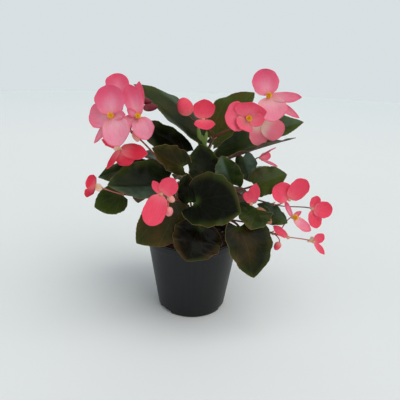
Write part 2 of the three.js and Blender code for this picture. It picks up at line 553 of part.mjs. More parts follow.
function makeSpray(spray) {
  const points = spray.stalk.map(at);
  const start = leaving(spray.on, points[0], PEDUNCLE_RISE * DEG);
  const path = [start.point, start.point.clone().addScaledVector(start.way, PEDUNCLE_FOOT), ...points];
  const stalk = new THREE.CatmullRomCurve3(path);
  const pieces = [tubeSolid(stalk, PEDUNCLE_RADIUS, PEDUNCLE_SIDES, PEDUNCLE_STEPS).subtract(bark)];
  const knots = new Set();
  const hang = (from, goal, way) => {
    const knot = points[from];
    const heading = stalk.getTangent((from + 2) / (path.length - 1));
    const pull = knot.distanceTo(goal) * STALK_PULL;
    const curve = new THREE.CubicBezierCurve3(knot, knot.clone().addScaledVector(heading, pull),
      goal.clone().addScaledVector(way, -pull), goal);
    pieces.push(tubeSolid(curve, PEDICEL_RADIUS, PEDICEL_SIDES, PEDICEL_STEPS));
    if (!knots.has(from)) pieces.push(eggSolid(knot, heading, KNOT_LENGTH, KNOT_WIDTH, KNOT_SIDES));
    knots.add(from);
  };
  for (const [name, from] of Object.entries(spray.blooms)) {
    const bloom = blooms.find((one) => one.name === name);
    const axis = at(bloom.faces).normalize();
    hang(from, at(bloom.centre).addScaledVector(axis, -RECEPTACLE_HEIGHT / 2 - GAP), axis);
  }
  for (const bud of spray.buds) {
    const way = at(bud.points).normalize();
    const centre = at(bud.centre);
    hang(bud.from, centre.clone().addScaledVector(way, bud.length * (BUD_STALK_INSET - 0.5)), way);
    pieces.push(eggSolid(centre, way, bud.length, bud.width, BUD_SIDES));
  }
  return join(pieces);
}

const group = new THREE.Group();

function place(name, solid, material) {
  const mesh = new THREE.Mesh(geometryFrom(solid), material.clone());
  mesh.name = name;
  group.add(mesh);
}

place('pot', makePot(), colours.pot);
place('soil', makeSoil(), colours.soil);
place('stems', makeStems(0), colours.stem);
leaves.forEach((leaf, k) => place(leaf.name, makeLeaf(leaf, k * LEAF_PHASE), colours.leaf));
sprays.forEach((spray) => place(spray.name, makeSpray(spray), colours.stalk));
for (const bloom of blooms) {
  place(bloom.name, makeBloom(bloom), colours.petal);
  if (bloom.stamens) place(bloom.name.replace('bloom', 'stamens'), makeStamens(bloom), colours.stamen);
}

export default group;
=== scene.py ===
"""The looks of a bronze-leaved begonia with pink flowers in a round plastic nursery pot.

Lengths are in millimetres until a mesh is made, and metres from there on. +Z is up and -Y is the front.
Angles are in degrees. A size is a length, a width and a depth. A share goes from 0 to 1 along a form.
"""
import math
import random

import bpy
import numpy as np
from mathutils import Matrix, Vector, noise


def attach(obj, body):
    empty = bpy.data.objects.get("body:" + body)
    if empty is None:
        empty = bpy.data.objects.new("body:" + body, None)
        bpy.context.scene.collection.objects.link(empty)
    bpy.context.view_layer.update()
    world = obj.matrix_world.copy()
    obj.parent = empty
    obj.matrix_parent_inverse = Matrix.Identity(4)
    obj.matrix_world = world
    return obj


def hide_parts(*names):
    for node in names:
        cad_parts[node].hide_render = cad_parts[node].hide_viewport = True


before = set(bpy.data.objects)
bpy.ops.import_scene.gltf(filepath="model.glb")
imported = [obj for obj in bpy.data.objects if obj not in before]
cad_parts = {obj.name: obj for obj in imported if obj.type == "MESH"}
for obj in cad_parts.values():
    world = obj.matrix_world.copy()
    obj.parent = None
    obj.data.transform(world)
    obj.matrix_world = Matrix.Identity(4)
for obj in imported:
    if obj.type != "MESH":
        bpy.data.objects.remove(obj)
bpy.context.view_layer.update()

MM = 0.001
DEG = math.pi / 180
TURN = 2 * math.pi
UP = np.array([0.0, 0.0, 1.0])
DRAW_SEED = 7

# The least length to divide by, a small step along a spline, and how upright a steep line is.
TINY = 1e-9
NUDGE = 1e-3
STEEP = 0.9

# What a mesh's points hold: the kind of each field, the key of its values, and its usual value.
FIELDS = {
    "place": ("FLOAT_VECTOR", "vector", (0, 0, 0)),
    "face": ("FLOAT", "value", 1),
    "tone": ("FLOAT", "value", 0),
    "tint": ("FLOAT_COLOR", "color", (1, 1, 1)),
}

# A Mix node's sockets for its share and two colours, and for the colour that it gives.
MIX_INPUTS = (0, 6, 7)
MIX_RESULT = 2

# Pot
POT_HEIGHT = 105
POT_FOOT_RADIUS = 43
POT_HEEL_RADIUS = 46.2
POT_HEEL_HEIGHT = 4
POT_SHOULDER_RADIUS = 60.6
POT_WALL = 1.6
POT_WALL_RINGS = 13
POT_FLOOR = 2
POT_SHARP_ANGLE = 35
RIM_RADIUS = 63.5
RIM_HEIGHT = 9
RIM_LIP = 1.2
RIM_ROLL = 2
FOOT_FILLET = 2.6
EDGE_FILLET = 0.5
LIP_FILLET = 0.9
MOUTH_FILLET = 0.7
MOUTH_OFFSET = 1.7

# Points inside the pot's mouth: how far out they are from the wall, and how far below the top.
MOUTH_POINTS = ((0.6, 3), (0.1, RIM_HEIGHT), (-2, RIM_HEIGHT + 20))

# Notches in the foot and drain holes
NOTCH_ANGLES = (-140, -20, 100)
NOTCH_WIDTH = 23
NOTCH_HEIGHT = 5
NOTCH_REACH = 12
NOTCH_BEVEL = 1.5
DRAIN_RADIUS = 4
DRAIN_RING = 24
DRAIN_COUNT = 4

# Soil
SOIL_TOP = 93
SOIL_EDGE = 2
SOIL_FOOT = POT_FLOOR + 0.3
SOIL_GAP = 0.5
SOIL_RINGS = 44
SOIL_SPREAD = 0.9
SOIL_SWELL = 0.7
SOIL_PITCH = (0.61, 0.53, 0.9)
SOIL_SHIFT = (1.3, 0.4)
SOIL_LUMPS = 1.1
LUMP_SIZE = 5

# How fast finer lumps fade, how much finer each layer is, and how many layers there are.
LUMP_LAYERS = (0.9, 2.1, 5)

# Crumbs. Their widths and depths are shares of their lengths.
CRUMB_COUNT = 420
CRUMB_SPREAD = (0.03, 0.93)
CRUMB_SIZES = (0.8, 2.6)
CRUMB_WIDTHS = (0.6, 1)
CRUMB_DEPTHS = (0.5, 0.9)
CRUMB_FACE = (0.3, 0.9, 0.1)
CRUMB_TILT = (0.1, 1)
CRUMB_RISE = 0.3
CRUMB_SINK = 0.2
CRUMB_DENTS = 0.25
DENT_PITCH = 0.9
DENT_SHIFTS = (0, 9, 18)
WHITE_CRUMBS = 0.09

# The crown's radii and its heights over the soil.
CROWN_PROFILE = ((0, -14), (6, -14), (8, -6), (7.6, 0), (6.6, 2.5), (4, 4.6), (0, 5.4))

# Redness goes from green at 0 to red-brown at 1, and to pink above it.
WOOD_REDNESS = 0.7
STEM_REDNESS = 0.6
TOP_REDNESS = 0.65
TOP_GREENING = 0.6
GREEN_FROM = 120
GREEN_RISE = 100

# Stems, with a papery scale under each stalk. Each branch has these joints besides those of its stalks.
STEM_RADIUS = 3.4
STEM_FOOT = 1.03
STEM_TAPER = 0.25
STEM_WAIST = 0.93
STEM_SWELL = 0.14
STEM_END = (0.95, 0.8, 0.5)
STEM_JOINTS = {0.2, 0.35}
JOINT_SHARE = 0.025
SCALE_SIZE = (8, 5, 0.8)
SCALE_RISE = 60
SCALE_INSET = 0.85
SCALE_DROP = 1.5

# Leaf stalks and flower stalks. A swell is what it adds to a width, and a share is where it fades.
STALK_PULL = 0.35
FOOT_SHARE = 0.08
PETIOLE_RADIUS = 1.35
PETIOLE_RISE = 35
PETIOLE_UNDER_BLADE = 2
PETIOLE_GAP = 0.5
FOOT_SWELL = 0.35
HUB_SWELL = 0.15
HUB_SHARE = 0.05
PEDUNCLE_RADIUS = 1.15
PEDUNCLE_TAPER = (1.15, 0.85)
PEDUNCLE_RISE = 40
PEDUNCLE_FOOT = 10
PEDICEL_RADIUS = 0.75
PEDICEL_SWELL = 0.5
PEDICEL_SINK = 0.4
KNOT_SIZE = (4.8, 3.6, 3.4)
KNOT_BRACT_SIZE = (6.5, 3.4, 0.7)
KNOT_BRACT_INSET = 0.8
KNOT_BRACT_AHEAD = 0.7
KNOT_BRACT_LIFT = 0.3

# The young shoot's scales: how far aside each stands, how it leans, its length and its width.
SHOOT_SCALES = ((-1.6, -0.16, 30, 6.5), (1.8, 0.12, 24, 5.5), (0.2, -0.02, 19, 4))
SHOOT_FOOT = (9, -8, 221)
SHOOT_WAY = (-0.12, 1)
SHOOT_DEPTH = 2.6

# How full a pod's base is, how much it narrows towards its tip, and how wide its seams are.
EGG_BASE = 1.1
EGG_TAPER = 0.25
SEAM_WIDTH = 0.3

# Leaf blades. A hold is the power of the share across that keeps a form to the margin.
LEAF_THICKNESS = 0.7
LEAF_THINNING = 0.45
THINNING_HOLD = 6
LEAF_ROWS = 84
LEAF_COLUMNS = 44
LEAF_TIP_CROWDING = 1.25
LEAF_EDGE_CROWDING = 1.2
LEAF_SHOULDER = 0.36
LEAF_BASE_NARROWING = 0.32
LEAF_CORNER = 0.13
LEAF_CORNER_CUT = 0.5
LEAF_TIP_START = 3.6
LEAF_TIP_ROUNDNESS = 0.95
LEAF_TOOTH = 0.035
LEAF_TEETH = 4
TOOTH_HOLD = 4
LEAF_WAVE = 2.2
LEAF_WAVES = 3
LEAF_SIDE_SHIFT = 2.1
LEAF_PHASE = 1.7
LEAF_SEED = 0.37
LOBE_CURVE = 1.6
FOLD_SOFTNESS = 0.004
FOLD_DEPTH = 0.063
FINE_TOOTH = 0.45
FINE_TOOTH_PITCH = 4.6
FINE_TOOTH_POINT = 1.4
FINE_TOOTH_HOLD = 10
RUFFLE = 0.2
RUFFLES = 7
RUFFLE_SHIFT = 3
RUFFLE_HOLD = 5
CALM_WIDTH = 8
QUILT = 0.12
QUILT_WIDTH = 2.6
VEIN_DEPTH = 0.08
BRANCH_SHALLOWNESS = 0.6
RIB = 0.4
RIB_WIDTH = 0.9
FLAT_MARGIN = 3
FLAT_TIP = 6

# Veins of a leaf, in its flattened outline. They spread from the hub and lean towards the tip.
VEIN_SPREAD = 30 * DEG
VEIN_LEAN = 0.35
VEIN_SPAN = 95
VEIN_WARP = 1.4
VEIN_WARP_PITCH = (0.11, 0.13)
VEIN_WARP_SHIFT = (6, 4)
BRANCH_PITCH = 9
BRANCH_SLANT = 0.7

# Petals. A bloom's and a petal's number give the phase of its waves.
PETAL_THICKNESS = 0.5
PETAL_THINNING = 0.5
PETAL_ROWS = 26
PETAL_COLUMNS = 20
PETAL_TIP_CROWDING = 1.8
PETAL_EDGE_CROWDING = 0.25
PETAL_BROADEST = 0.55
PETAL_BASE = 0.28
BROAD_PETAL = 0.65
BROAD_TIP = 0.5
NARROW_TIP = 0.85
PETAL_CUP = 14
PETAL_ROUNDNESS = 0.8
PETAL_BEND = -18
PETAL_INSET = 1.5
PETAL_STEP = 0.9
PETAL_UNEVEN = 0.06
PETAL_TIP_MARGIN = 4
PETAL_WAVE = 0.9
FINE_WAVE = 0.45
WAVE_PITCH = (7, 15)
FULL_WAVE_WIDTH = 25
RIPPLE = 0.016
FINE_RIPPLE = 0.01
RIPPLE_PITCH = (17, 31)
UNEVEN_PITCH = 3.5
PLEAT = 0.16
PLEATS = 9
PLEAT_END = 1.2
BLOOM_PHASE = 1.3
PETAL_PHASE = 2.1

# Middles of the blooms, and buds
RECEPTACLE_SIZE = (2.4, 4.6, 4.6)
OVARY_SIZE = (9, 5, 5)
OVARY_WING_SIZE = (8.5, 6.5, 0.9)
OVARY_WING_INSET = 2.4
OVARY_WING_TURNS = (20, 140, 260)
STAMEN_RADIUS = 3.6
STAMEN_GAP = 0.3
STAMEN_COUNT = 64
STAMEN_COVER = 1.75
STAMEN_LENGTHS = (0.95, 1.08)
STAMEN_FOOT_SIZE = (4.6, 3.2, 3.2)
GOLDEN_ANGLE = 180 * (3 - math.sqrt(5))
FILAMENT_SHARES = (0.2, 0.45)
FILAMENT_RADII = (0.25, 0.2)
ANTHER_START = 0.4
ANTHER_SECTION = (1.15, 0.8)
ANTHER_COLOURS = ("#f0b41e", "#e59c16", "#f7c93c")
BUD_FACE = (0, -1, 0.2)
BUD_DEPTH = 0.9
BUD_SINK = 0.42

# Camera and floor, in metres, but the lens and the sensor in millimetres
CAMERA_PLACE = (0.008, -0.563, 0.345)
CAMERA_PITCH = 19
CAMERA_ROLL = 1.8
CAMERA_LENS = 40.5
CAMERA_SENSOR = 36
FLOOR_RADIUS = 3

# How bright the world is at the horizon and overhead, and for each lamp the place that it shines from, its
# strength, how wide it looks and its colour.
HORIZON = 0.93
CEILING = 0.22
LAMPS = (
    ("key", (0.65, -0.4, 1.1), 1.5, 62, "#fdfbf9"),
    ("top", (-0.1, -0.1, 1.0), 0.28, 30, "#f8faff"),
    ("fill", (-1.0, -0.8, 0.6), 0.4, 80, "#f8faff"),
    ("front", (0.35, -1.0, 0.25), 0.3, 70, "#fffdfb"),
    ("back", (0.2, 1.0, 0.8), 0.5, 70, "#eaf2f8"),
)

# The branches of the crown, each a curve through these points.
BRANCHES = {
    "top": [(0, 0, 88), (3, 3, 130), (10, 5, 180), (14, 5, 224)],
    "left": [(-2, -1, 90), (-18, -8, 120), (-26, -16, 155), (-30, -20, 184)],
    "right": [(2, -1, 90), (24, -8, 118), (42, -16, 150), (50, -20, 178)],
    "front": [(0, -3, 90), (4, -24, 115), (8, -38, 146)],
    "backLeft": [(-1, 2, 90), (-18, 24, 118), (-26, 38, 158)],
    "backRight": [(2, 2, 90), (24, 26, 120), (38, 38, 165)],
}

# Leaves: branch and share along it, hub, tip, width, face, droop, cup, skew and lobe. A leaf's stalk meets
# it at its hub. Seen from the side that its face points to, with its tip up, a skew widens its left half.
# Its lobe is how far its lower corners reach behind the hub, as a share of its length.
LEAVES = {
    "leaf_01": ("top", 0.93, (6, -2, 234), (-76, -8, 298), 60, (0.62, -0.4, 0.68), 6, 20, 0.1, 0.06),
    "leaf_02": ("top", 0.9, (22, 14, 231), (74, 32, 289), 58, (-0.5, -0.65, 0.55), 24, 12, 0.12, 0.12),
    "leaf_03": ("top", 0.8, (29, 24, 216), (140, 26, 254), 56, (-0.25, -0.6, 0.75), 14, 10, 0.1, 0.1),
    "leaf_04": ("top", 0.74, (38, -24, 212), (119, -36, 245), 36, (-0.22, 0.2, 0.95), 8, 10, 0, 0.1),
    "leaf_05": ("left", 0.97, (-14, -34, 204), (-50, -48, 230), 40, (0.3, -0.8, 0.5), -30, 32, 0, 0.16),
    "leaf_06": ("top", 0.7, (-12, -6, 215), (-69, -20, 256), 40, (0.35, -0.8, 0.45), 10, 8, 0.1, 0.1),
    "leaf_07": ("left", 0.85, (-32, -36, 184), (-101, -60, 187), 66, (-0.1, -0.6, 0.8), -14, 22, 0, 0.14),
    "leaf_08": ("left", 0.6, (-92, -24, 166), (-124, -34, 149), 48, (-0.2, -0.6, 0.7), 24, -8, 0.1, 0.1),
    "leaf_09": ("left", 0.7, (-66, 10, 188), (-128, 10, 175), 46, (-0.2, -0.4, 0.9), 30, 6, 0, 0.14),
    "leaf_10": ("front", 0.7, (-25, -44, 167), (-66, -75, 120), 62, (0.35, -0.85, 0.4), 24, 6, 0.3, 0.1),
    "leaf_11": ("front", 0.95, (3, -68, 171), (54, -92, 169), 66, (0.1, -0.88, 0.46), 20, 10, 0.18, 0.26),
    "leaf_12": ("top", 0.58, (14, -30, 190), (6, -16, 230), 40, (0.1, -0.95, 0.1), -10, 12, 0, 0.14),
    "leaf_13": ("right", 0.97, (47, -34, 184), (32, -38, 221), 34, (-0.2, -0.9, 0.3), 16, 8, 0, 0.16),
    "leaf_14": ("right", 0.75, (38, -36, 171), (68, -62, 180), 26, (0, 0.35, 0.95), 12, 6, 0, 0.14),
    "leaf_15": ("right", 0.9, (74, -30, 183), (111, -44, 202), 38, (-0.1, -0.8, 0.55), 16, 8, 0, 0.14),
    "leaf_16": ("right", 0.6, (75, -48, 160), (68, -80, 144), 44, (0.1, -0.6, 0.8), 16, 8, 0, 0.2),
    "leaf_17": ("right", 0.5, (82, -38, 153), (116, -50, 142), 28, (0.2, -0.75, 0.6), 24, 8, 0, 0.16),
    "leaf_18": ("front", 0.62, (56, -66, 142), (74, -92, 88), 58, (0.3, -0.88, 0.3), 22, 5, 0.2, 0.14),
    "leaf_19": ("front", 0.5, (8, -64, 140), (-6, -94, 108), 62, (0.05, -0.75, 0.6), 26, -10, 0.1, 0.18),
    "leaf_20": ("backLeft", 0.97, (-44, 46, 184), (-112, 62, 196), 62, (-0.1, 0.2, 1), 34, 12, 0, 0.16),
    "leaf_21": ("top", 0.62, (8, 51, 189), (12, 114, 176), 56, (0, 0.1, 1), 34, 10, 0, 0.16),
    "leaf_22": ("backRight", 0.95, (66, 44, 178), (124, 78, 168), 60, (0.1, 0.2, 1), 34, 10, 0, 0.16),
    "leaf_23": ("backLeft", 0.6, (-46, 62, 148), (-88, 96, 110), 58, (-0.4, 0.5, 0.7), 30, 6, 0, 0.16),
    "leaf_24": ("backRight", 0.55, (42, 66, 150), (70, 110, 108), 60, (0.3, 0.6, 0.7), 30, 6, 0, 0.16),
    "leaf_25": ("backLeft", 0.8, (-6, 72, 160), (-14, 124, 134), 56, (0, 0.5, 0.85), 30, 8, 0, 0.16),
    "leaf_26": ("top", 0.66, (60, -8, 213), (72, -14, 182), 32, (0.5, -0.8, 0.2), 16, 10, 0, 0.14),
    "leaf_27": ("front", 0.8, (-4, -28, 158), (-10, -22, 194), 30, (0, -0.95, 0.2), 8, 8, 0, 0.16),
}

# How brown each leaf is above, how light it is, how red its leaf stalk is, all from 0 to 1, and how much of
# a painted grey sheen, which stands in for reflected light, lies on its left half, or its right half if the
# number is negative.
LEAF_LOOKS = {
    "leaf_01": (0.4, 0.3, 0.1, -0.8), "leaf_02": (0.5, 0.75, 0.1, 0), "leaf_03": (0, 0.45, 0.3, 0.5),
    "leaf_04": (0.3, 0.25, 0.95, 0.3), "leaf_05": (0.55, 0.35, 0.5, 0), "leaf_06": (0.4, 0.1, 0.8, 0),
    "leaf_07": (0.1, 0.25, 0.6, 0.55), "leaf_08": (0.3, 0.6, 0.8, 0), "leaf_09": (0.3, 0.25, 0.5, 0),
    "leaf_10": (0.62, 0.38, 0.9, 0), "leaf_11": (0.35, 0, 0.5, 0), "leaf_12": (0.3, 0.2, 0.5, 0),
    "leaf_13": (0, 0.45, 0.4, 0.9), "leaf_14": (0.5, 0.25, 0.9, 0.4), "leaf_15": (0.5, 1.0, 0.6, 0.3),
    "leaf_16": (0.3, 0.45, 0.6, 0), "leaf_17": (0.15, 0.4, 0.7, 0.6), "leaf_18": (0.6, 0.28, 0.9, 0),
    "leaf_19": (0.6, 0, 0.8, 0), "leaf_20": (0.4, 0.35, 0.6, 0.2), "leaf_21": (0.3, 0.4, 0.6, 0),
    "leaf_22": (0.3, 0.4, 0.7, 0.3), "leaf_23": (0.6, 0.35, 0.8, 0), "leaf_24": (0.5, 0.3, 0.9, 0),
    "leaf_25": (0.5, 0.35, 0.6, -0.3), "leaf_26": (0.05, 0.3, 0.6, 0.8), "leaf_27": (0.4, 0.15, 0.5, 0),
}

# A bract by a leaf's hub: its foot, its tip and its width.
BRACTS = {"leaf_16": ((77, -50, 161), (95, -58, 143), 12)}
BRACT_DEPTH = 1
BRACT_FACE = (1, 0, 0.6)

# How much of their teeth and waves the smoothest leaves have.
LEAF_UNREST = {"leaf_01": 0.5, "leaf_08": 0.15, "leaf_10": 0.6, "leaf_18": 0.7}

# How far from the midrib the painted grey sheen starts, how softly, and how much of it the other half has.
PAINTED_SHEEN_START = {"leaf_01": 17, "leaf_07": 4}
PAINTED_SHEEN_FADE = 4
PAINTED_SHEEN_REST = 0.05

# Blooms: centre, way it faces, how red and unripe it is from 0 to 1, and its petals. A petal is its turn
# clockwise from straight up, its spread from the way the bloom faces, its length and its width.
BLOOMS = {
    "bloom_01": ((-93, -60, 267), (-0.15, -0.93, 0.33), 0,
        [(-86, 98, 27, 30), (-8, 82, 33, 36), (84, 70, 17, 11), (156, 80, 35, 33),
         (-146, 100, 36, 9)]),
    "bloom_02": ((-94, -34, 286), (-0.05, -0.75, 0.65), 0.2,
        [(5, 75, 27, 29), (185, 110, 22, 24), (-85, 85, 18, 10)]),
    "bloom_03": ((-65, -52, 266), (0.1, -0.9, 0.4), 0.1,
        [(2, 84, 39, 14), (-17, 78, 36, 22), (158, 70, 30, 25), (-60, 60, 14, 9),
         (-122, 78, 20, 15)]),
    "bloom_04": ((-86, -54, 229), (0.35, 0.75, -0.55), 0.7,
        [(-82, 60, 31, 20), (-140, 55, 20, 24), (150, 75, 28, 10), (75, 100, 26, 8)]),
    "bloom_05": ((9, -22, 261), (0.1, -0.45, 0.9), 0.9, [(0, 25, 23, 28), (180, 92, 18, 26)]),
    "bloom_06": ((83, -30, 291), (0.1, -0.93, 0.35), 0.1,
        [(124, 88, 43, 10), (-15, 80, 30, 33), (95, 72, 37, 13), (170, 78, 30, 36)]),
    "bloom_07": ((59, -54, 268), (0.15, -0.92, 0.25), 0.5,
        [(-86, 66, 30, 34), (10, 55, 19, 38), (220, 58, 17, 24), (98, 55, 18, 16)]),
    "bloom_08": ((78, -28, 261), (0.2, -0.9, -0.15), 0.1, [(192, 75, 27, 26), (116, 72, 28, 27)]),
    "bloom_09": ((83, 0, 211), (0.95, -0.3, 0.05), 0.3,
        [(0, 32, 24, 13), (180, 22, 24, 12), (90, 50, 18, 12)]),
    "bloom_10": ((-34, -100, 191), (0.1, -0.95, 0.2), 0.8,
        [(202, 80, 35, 26), (40, 75, 21, 21), (-32, 70, 17, 9)]),
    "bloom_11": ((-117, -52, 182), (-0.96, 0.28, 0.05), 0.6, [(25, 60, 14, 22), (155, 60, 15, 22)]),
    "bloom_12": ((115, -52, 173), (0.1, -0.95, 0.2), 0.95, [(-50, 80, 25, 26), (34, 72, 30, 23)]),
    "bloom_13": ((122, -48, 149), (0.5, -0.8, 0.3), 0.2,
        [(-25, 85, 23, 8), (133, 80, 29, 14), (60, 60, 12, 7)]),
    "bloom_14": ((149, -32, 155), (0.2, -0.93, 0.1), 0.95,
        [(10, 75, 17, 14), (95, 80, 24, 22), (165, 80, 24, 18)]),
    "bloom_15": ((119, -48, 122), (0.1, -0.9, 0.3), 0.9, [(-54, 75, 25, 10)]),
    "bloom_16": ((151, -50, 118), (0.4, -0.88, 0.1), 0.7, [(52, 72, 14, 15), (141, 78, 21, 8)]),
    "bloom_17": ((67, -74, 174), (-0.2, -0.9, 0.3), 0.8, [(10, 72, 24, 14), (-30, 60, 15, 10)]),
    "bloom_18": ((36, 66, 246), (0.2, 0.9, 0.35), 0.2,
        [(0, 80, 28, 30), (180, 80, 30, 30), (90, 75, 20, 12), (-90, 75, 20, 12)]),
}

# Blooms whose petals bend more than usual, and how much a warm colour lifts the hanging petals of each:
# partly a cream throat that the bloom has, and partly a painted glow that stands in for light shining through
# them.
BLOOM_BENDS = {"bloom_05": -50, "bloom_07": -40}
BLOOM_THROAT_AND_GLOW = {"bloom_01": 0.1, "bloom_06": 0.3, "bloom_07": 0.25, "bloom_08": 1.2, "bloom_13": 0.3}

# Blooms that show their stamens, and blooms that show a winged ovary behind them.
WITH_STAMENS = ("bloom_01", "bloom_03", "bloom_06", "bloom_07", "bloom_13")
OVARY_BLOOMS = ("bloom_04", "bloom_10", "bloom_11", "bloom_16")

# Buds: their colours, and how pale the foot of one is.
MAROON = "#6a1024"
CORAL = "#e8475f"
ROSE = "#ee8a90"
PEACH = "#f0a898"
BUD_PALENESS = {MAROON: 0.2}
PALE_FOOT = 0.8

# How red the main stalk and the thinner stalks are: as a rule, and in some sprays.
RED_PEDUNCLE = 0.85
PEDUNCLE_REDNESS = {"spray_01": 1.2}
PINK_PEDICEL = 1.3
PEDICEL_REDNESS = {"spray_02": 0.8, "spray_05": 1.0}

# Sprays: branch and share along it, the stops that the stalk passes, the stop that each bloom hangs
# from, and the buds: the stop, the centre, the way it points, its length, its width and its colour.
SPRAYS = {
    "spray_01": ("left", 0.92, [(-44, -16, 205), (-58, -30, 228), (-74, -40, 246)],
        {"bloom_01": 2, "bloom_02": 2, "bloom_03": 2, "bloom_04": 2},
        [(2, (-52, -44, 276), (0.9, 0.1, 0.1), 17, 9, MAROON),
         (2, (-57, -38, 282), (1, 0, -0.2), 12, 8, MAROON),
         (2, (-100, -43, 233), (-0.9, 0, -0.3), 13, 8, PEACH),
         (2, (-68, -50, 243), (0.5, -0.2, -0.8), 13, 8, PEACH)]),
    "spray_02": ("top", 0.95, [(22, -10, 236), (44, -22, 252), (62, -20, 262)],
        {"bloom_05": 0, "bloom_06": 2, "bloom_07": 2, "bloom_08": 2},
        [(0, (-13, -28, 276), (-0.4, -0.3, 0.9), 23, 19, CORAL)]),
    "spray_03": ("left", 0.75, [(-18, -50, 190), (-22, -80, 192)],
        {"bloom_10": 1},
        [(1, (-26, -100, 171), (0.1, -0.2, -1), 11, 10, ROSE),
         (1, (-24, -95, 184), (0.8, -0.3, -0.5), 10, 8, PEACH)]),
    "spray_04": ("left", 0.68, [(-60, -46, 168), (-84, -54, 174)],
        {"bloom_11": 1}, []),
    "spray_05": ("right", 0.82, [(70, -22, 164), (100, -28, 158)],
        {"bloom_09": 0, "bloom_12": 1, "bloom_14": 1, "bloom_17": 0}, []),
    "spray_06": ("right", 0.4, [(70, -34, 134), (100, -40, 124)],
        {"bloom_13": 1, "bloom_15": 1, "bloom_16": 1},
        [(1, (107, -46, 109), (-0.4, 0, -1), 12, 9, CORAL)]),
    "spray_07": ("backRight", 0.75, [(38, 46, 196), (40, 50, 222)],
        {"bloom_18": 1}, []),
}


def srgb(text):
    """A linear colour from its hexadecimal name."""
    parts = [int(text[k:k + 2], 16) / 255 for k in (1, 3, 5)]
    return tuple(c / 12.92 if c <= 0.04045 else ((c + 0.055) / 1.055) ** 2.4 for c in parts)


def unit(vector):
    vector = np.asarray(vector, float)
    return vector / np.linalg.norm(vector)


def across_to(vector, axis):
    """The part of a vector that is square to an axis, at unit length."""
    vector = np.asarray(vector, float)
    return unit(vector - axis * (vector @ axis))


def turned(start, towards, angle):
    """The way that is an angle in degrees from one way towards another that is square to it."""
    return start * math.cos(angle * DEG) + towards * math.sin(angle * DEG)


# Curves

def spline_point(points, t):
    """A point of the centripetal spline through the points, with t from 0 to 1."""
    last = len(points) - 1
    place = last * t
    i = min(int(place), last - 1)
    w = place - i
    before = points[i - 1] if i > 0 else 2 * points[0] - points[1]
    start, end = points[i], points[i + 1]
    after = points[i + 2] if i + 2 <= last else 2 * points[last] - points[last - 1]
    d0, d1, d2 = (np.linalg.norm(b - a) ** 0.5 for a, b in ((before, start), (start, end), (end, after)))
    leave = ((start - before) / d0 - (end - before) / (d0 + d1) + (end - start) / d1) * d1
    arrive = ((end - start) / d1 - (after - start) / (d1 + d2) + (after - end) / d2) * d1
    return (start + leave * w + (3 * (end - start) - 2 * leave - arrive) * w ** 2
            + (2 * (start - end) + leave + arrive) * w ** 3)


def spline(points, steps):
    points = np.array(points, float)
    return np.array([spline_point(points, t) for t in np.linspace(0, 1, steps + 1)])


def bezier(a, b, c, d, steps):
    t = np.linspace(0, 1, steps + 1)[:, None]
    return a * (1 - t) ** 3 + 3 * b * t * (1 - t) ** 2 + 3 * c * t ** 2 * (1 - t) + d * t ** 3


def point_on(branch, share):
    """The point at that share of a branch's length."""
    line = spline(BRANCHES[branch], steps=200)
    lengths = np.concatenate([[0], np.cumsum(np.linalg.norm(np.diff(line, axis=0), axis=1))])
    return np.array([np.interp(share * lengths[-1], lengths, line[:, k]) for k in range(3)])


def leaving(branch, share, goal, rise):
    """Where a stalk leaves a branch, and the way it sets out, rising towards its goal."""
    point = point_on(branch, share)
    out = np.subtract(goal, point)
    out[2] = 0
    return point, turned(unit(out), UP, rise)


# Meshes

class Piece:
    """Collects the closed parts of one piece, in millimetres, and makes its object.

    Each point holds a place on its blade, a face that is 0 on an underside, a tone and a tint. The tint of a
    leaf is its seed, its lightness and its share of painted sheen, and that of a petal is its seed, its
    paleness and its warm throat colour mixed with a painted glow.
    """

    def __init__(self):
        self.points, self.faces, self.looks, self.worn = [], [], [], []
        self.fields = {name: [] for name in FIELDS}
        self.count = 0

    def add(self, shape, look, **fields):
        """Adds a shape, which is its points and faces, in one of the looks."""
        points, faces = shape
        self.points.append(points)
        self.faces += [tuple(i + self.count for i in face) for face in faces]
        if look not in self.looks:
            self.looks.append(look)
        self.worn += [self.looks.index(look)] * len(faces)
        for name, (_, _, usual) in FIELDS.items():
            value = fields.get(name, usual)
            value = srgb(value) if isinstance(value, str) else value
            self.fields[name].append(np.broadcast_to(value, (len(points), *np.shape(usual))))
        self.count += len(points)

    def build(self, name, nodes):
        mesh = bpy.data.meshes.new(name)
        mesh.from_pydata((np.concatenate(self.points) * MM).tolist(), [], self.faces)
        mesh.polygons.foreach_set("use_smooth", [True] * len(self.faces))
        for look in self.looks:
            mesh.materials.append(looks[look])
        mesh.polygons.foreach_set("material_index", self.worn)
        for field, (kind, key, _) in FIELDS.items():
            values = np.concatenate(self.fields[field]).astype(np.float32)
            if key == "color":
                values = np.insert(values, 3, 1, axis=1)
            mesh.attributes.new(field, kind, "POINT").data.foreach_set(key, values.ravel())
        mesh.update()
        settle(new_object(name, mesh), nodes)


def new_object(name, data):
    item = bpy.data.objects.new(name, data)
    bpy.context.scene.collection.objects.link(item)
    return item


def settle(piece, nodes):
    """Hangs a finished piece from the root and hides the parts that it stands in for."""
    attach(piece, "root")
    if nodes:
        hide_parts(*nodes)


def circle(sides):
    """The cosines and sines of a full turn's even steps, as columns."""
    turns = np.arange(sides)[:, None] * TURN / sides
    return np.cos(turns), np.sin(turns)


def closed_skin(start, rings, end):
    """The closed shape of rings of points between two end points."""
    sides = len(rings[0])
    points = np.concatenate([[start], *rings, [end]])
    last = len(points) - 1
    faces = []
    for k in range(sides):
        n = (k + 1) % sides
        faces.append((0, 1 + n, 1 + k))
        faces += [(a + k, a + n, a + sides + n, a + sides + k) for a in range(1, last - sides, sides)]
        faces.append((last - sides + k, last - sides + n, last))
    return points, faces


